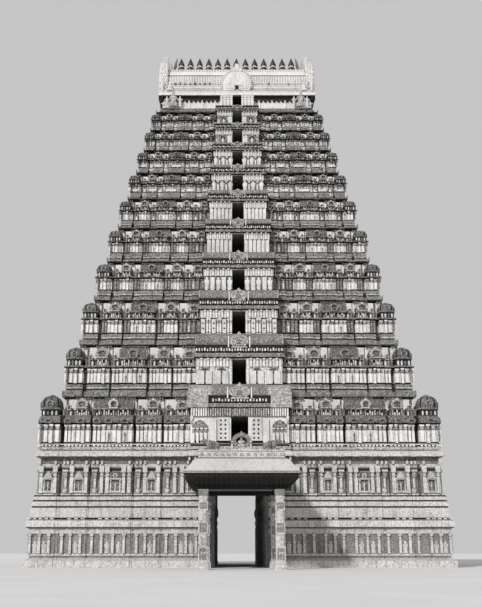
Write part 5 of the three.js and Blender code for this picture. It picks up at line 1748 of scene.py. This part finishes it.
def roof_ridge():
    """The ridge with its lotus pedestals and the row of copper finials."""
    work = Work()
    crown = crown_level()
    half = VAULT_HALF - 0.2
    work.once(box((-half, half), (-0.45, 0.45), (crown - 0.3, crown + 0.03), LIME))
    # Lotus, pot, collar and cone
    finial = joined([turned(profile, steps, finish) for profile, steps, finish in (
        ([(0.4, 0), (0.54, 0.06), (0.5, 0.1), (0.34, 0.14)], 12, LIME),
        ([(0.34, 0.12), (0.5, 0.2), (0.55, 0.4), (0.53, 0.62), (0.4, 0.8), (0.2, 0.88)], 14, COPPER),
        ([(0.2, 0.86), (0.34, 0.9), (0.34, 1.06), (0.2, 1.1)], 10, LIME),
        ([(0.22, 1.1), (0.4, 1.14), (0.41, 1.26), (0.35, 1.5), (0.16, 2.0), (0.02, 2.38)], 14, COPPER),
    )])
    reach = FINIALS * FINIAL_PITCH / 2
    work.once(finial, [at(x, 0, crown + 0.06) for x in spread(-reach, reach, FINIALS)])
    return work


# Settings, operators and panel

class GopuramSettings(bpy.types.PropertyGroup):
    """What the materials, the vault and the stage are set by."""

    limewash: FloatProperty(
        name="Limewash", description="Tone of the limewashed plaster where it is clean",
        default=FINISHES[PLASTER][1], min=0.0, max=1.0, subtype="FACTOR")
    granite: FloatProperty(
        name="Granite", description="Tone of the cut granite where it is clean",
        default=FINISHES[GRANITE][1], min=0.0, max=1.0, subtype="FACTOR")
    ribs: IntProperty(
        name="Ribs", description="Number of ribs over the barrel vault", default=84, min=12, max=200)
    sun_elevation: FloatProperty(
        name="Sun elevation", description="Height of the key light over the horizon",
        default=math.radians(34), subtype="ANGLE")
    sun_azimuth: FloatProperty(
        name="Sun azimuth", description="How far to the left of the front the key light stands",
        default=math.radians(32), subtype="ANGLE")
    sun_strength: FloatProperty(
        name="Sun strength", description="Irradiance of the key light", default=2.7)
    sun_spread: FloatProperty(
        name="Sun spread", description="Apparent width of the key light, which softens its shadows",
        default=math.radians(4), subtype="ANGLE")
    sky_strength: FloatProperty(
        name="Sky strength", description="Strength of the even light from all round", default=0.72)
    lens: FloatProperty(
        name="Lens", description="Focal length on a 36 mm sensor", default=43.89, subtype="DISTANCE_CAMERA")
    pitch: FloatProperty(
        name="Pitch", description="How far the camera looks up", default=math.radians(12.98), subtype="ANGLE")
    camera_x: FloatProperty(
        name="Camera across", description="Place of the camera to the right of the axis",
        default=-0.63, subtype="DISTANCE", unit="LENGTH")
    camera_y: FloatProperty(
        name="Camera back", description="Place of the camera along the depth of the tower",
        default=-41.03, subtype="DISTANCE", unit="LENGTH")
    camera_z: FloatProperty(
        name="Camera height", description="Height of the camera over the ground",
        default=0.685, subtype="DISTANCE", unit="LENGTH")
    shift_x: FloatProperty(name="Shift across", description="Sideways shift of the frame", default=0.0232)
    shift_y: FloatProperty(name="Shift up", description="Upward shift of the frame", default=0.13)


SIDES = (("left", -1), ("right", 1))
STAGE_REACH = 900.0


class GOPURAM_OT_tiers(bpy.types.Operator):
    """Builds the walls and floors of the eleven tiers"""

    bl_idname = "gopuram.tiers"
    bl_label = "Tiers"
    bl_options = {"REGISTER", "UNDO"}

    def execute(self, context):
        storeys = [Storey(number) for number in range(1, TIERS + 1)]
        for storey, upper in zip(storeys, storeys[1:]):
            tier_wall(storey, upper).make(f"tier_{storey.number:02d}_wall", "limewashed_plaster")
        top_tier(storeys[-1]).make(f"tier_{TIERS}_wall", "limewashed_plaster")
        for lower, storey in zip(storeys, storeys[1:]):
            tier_floor(storey, lower).make(f"tier_{storey.number:02d}_floor", "weathered_plaster")
        return {"FINISHED"}


class GOPURAM_OT_base(bpy.types.Operator):
    """Builds the granite base with its gate and main cornice"""

    bl_idname = "gopuram.base"
    bl_label = "Base"
    bl_options = {"REGISTER", "UNDO"}

    def execute(self, context):
        for name, side in SIDES:
            plinth(side).make(f"plinth_{name}", "granite")
            base_wall(side).make(f"base_wall_{name}", "granite")
        gate_ceiling().make("gate_ceiling", "granite")
        base_cornice(Storey(1)).make("base_cornice", "granite")
        return {"FINISHED"}


class GOPURAM_OT_porch(bpy.types.Operator):
    """Builds the granite porch with its niche and bulls"""

    bl_idname = "gopuram.porch"
    bl_label = "Porch"
    bl_options = {"REGISTER", "UNDO"}

    def execute(self, context):
        for line, y in COLUMN_YS.items():
            for name, side in SIDES:
                porch_column(side * COLUMN_X, y).make(f"porch_column_{line}_{name}", "granite")
            porch_beam(y).make(f"porch_beam_{line}", "granite")
        porch_roof().make("porch_roof", "granite")
        porch_parapet().make("porch_parapet", "granite")
        porch_niche().make("porch_niche", "weathered_plaster")
        for name, side in SIDES:
            porch_bull(side).make(f"porch_bull_{name}", "weathered_plaster")
        return {"FINISHED"}


class GOPURAM_OT_roof(bpy.types.Operator):
    """Builds the roof: eave, ribbed vault, gables, dormer arches and finials"""

    bl_idname = "gopuram.roof"
    bl_label = "Roof"
    bl_options = {"REGISTER", "UNDO"}

    def execute(self, context):
        roof_eave().make("roof_eave", "limewashed_plaster")
        roof_vault().make("roof_vault", "limewashed_plaster", 25.0)
        for name, side in SIDES:
            roof_gable(side).make(f"roof_gable_{name}", "limewashed_plaster")
        for name, side in (("front", -1), ("back", 1)):
            roof_arch(side).make(f"roof_arch_{name}", "limewashed_plaster")
        roof_ridge().make("roof_ridge", "dark_metal")
        return {"FINISHED"}


class GOPURAM_OT_stage(bpy.types.Operator):
    """Sets the pale floor, the lights and the camera"""

    bl_idname = "gopuram.stage"
    bl_label = "Stage"
    bl_options = {"REGISTER", "UNDO"}

    def execute(self, context):
        settings = context.scene.gopuram
        mesh = bpy.data.meshes.new("floor")
        corners = ((-1, -1), (1, -1), (1, 1), (-1, 1))
        mesh.from_pydata([(STAGE_REACH * x, STAGE_REACH * y, 0) for x, y in corners], [], [(0, 1, 2, 3)])
        floor = bpy.data.objects.new("floor", mesh)
        context.scene.collection.objects.link(floor)
        shader = Shader("pale_floor")
        mottle = shader.ramp(shader.noise(0.4, 4.0), 0.3, 0.7)
        colour = shader.mix(mottle, grey(0.62, 1.0), grey(0.66, 1.0))
        mesh.materials.append(shader.finish(colour, 0.9, mottle, 0.05))
        sun = bpy.data.lights.new("key_light", "SUN")
        sun.energy = settings.sun_strength
        sun.angle = settings.sun_spread
        lamp = bpy.data.objects.new("key_light", sun)
        elevation, azimuth = settings.sun_elevation, settings.sun_azimuth
        towards = Vector((
            -math.cos(elevation) * math.sin(azimuth),
            -math.cos(elevation) * math.cos(azimuth),
            math.sin(elevation),
        ))
        lamp.rotation_euler = towards.to_track_quat("Z", "Y").to_euler()
        context.scene.collection.objects.link(lamp)
        world = bpy.data.worlds.new("even_sky")
        world.use_nodes = True
        background = world.node_tree.nodes["Background"]
        background.inputs["Color"].default_value = grey(0.78, 1.0)
        background.inputs["Strength"].default_value = settings.sky_strength
        context.scene.world = world
        lens = bpy.data.cameras.new("camera")
        lens.lens = settings.lens
        lens.shift_x = settings.shift_x
        lens.shift_y = settings.shift_y
        lens.clip_end = 3000
        camera = bpy.data.objects.new("camera", lens)
        camera.location = (settings.camera_x, settings.camera_y, settings.camera_z)
        camera.rotation_euler = (math.pi / 2 + settings.pitch, 0, 0)
        context.scene.collection.objects.link(camera)
        context.scene.camera = camera
        context.scene.view_settings.view_transform = "Standard"
        return {"FINISHED"}


OPERATORS = (
    GOPURAM_OT_tiers,
    GOPURAM_OT_base,
    GOPURAM_OT_porch,
    GOPURAM_OT_roof,
    GOPURAM_OT_stage,
)


class GOPURAM_PT_panel(bpy.types.Panel):
    """The sidebar panel with one button a group"""

    bl_label = "Gopuram"
    bl_idname = "GOPURAM_PT_panel"
    bl_space_type = "VIEW_3D"
    bl_region_type = "UI"
    bl_category = "Gopuram"

    def draw(self, context):
        for operator in OPERATORS:
            self.layout.operator(operator.bl_idname)
        for name in GopuramSettings.__annotations__:
            self.layout.prop(context.scene.gopuram, name)


CLASSES = (GopuramSettings,) + OPERATORS + (GOPURAM_PT_panel,)


def register():
    for item in CLASSES:
        bpy.utils.register_class(item)
    bpy.types.Scene.gopuram = PointerProperty(type=GopuramSettings)


def unregister():
    del bpy.types.Scene.gopuram
    for item in reversed(CLASSES):
        bpy.utils.unregister_class(item)


def main():
    register()
    bpy.ops.gopuram.tiers()
    bpy.ops.gopuram.base()
    bpy.ops.gopuram.porch()
    bpy.ops.gopuram.roof()
    bpy.ops.gopuram.stage()


if __name__ == "__main__":
    main()
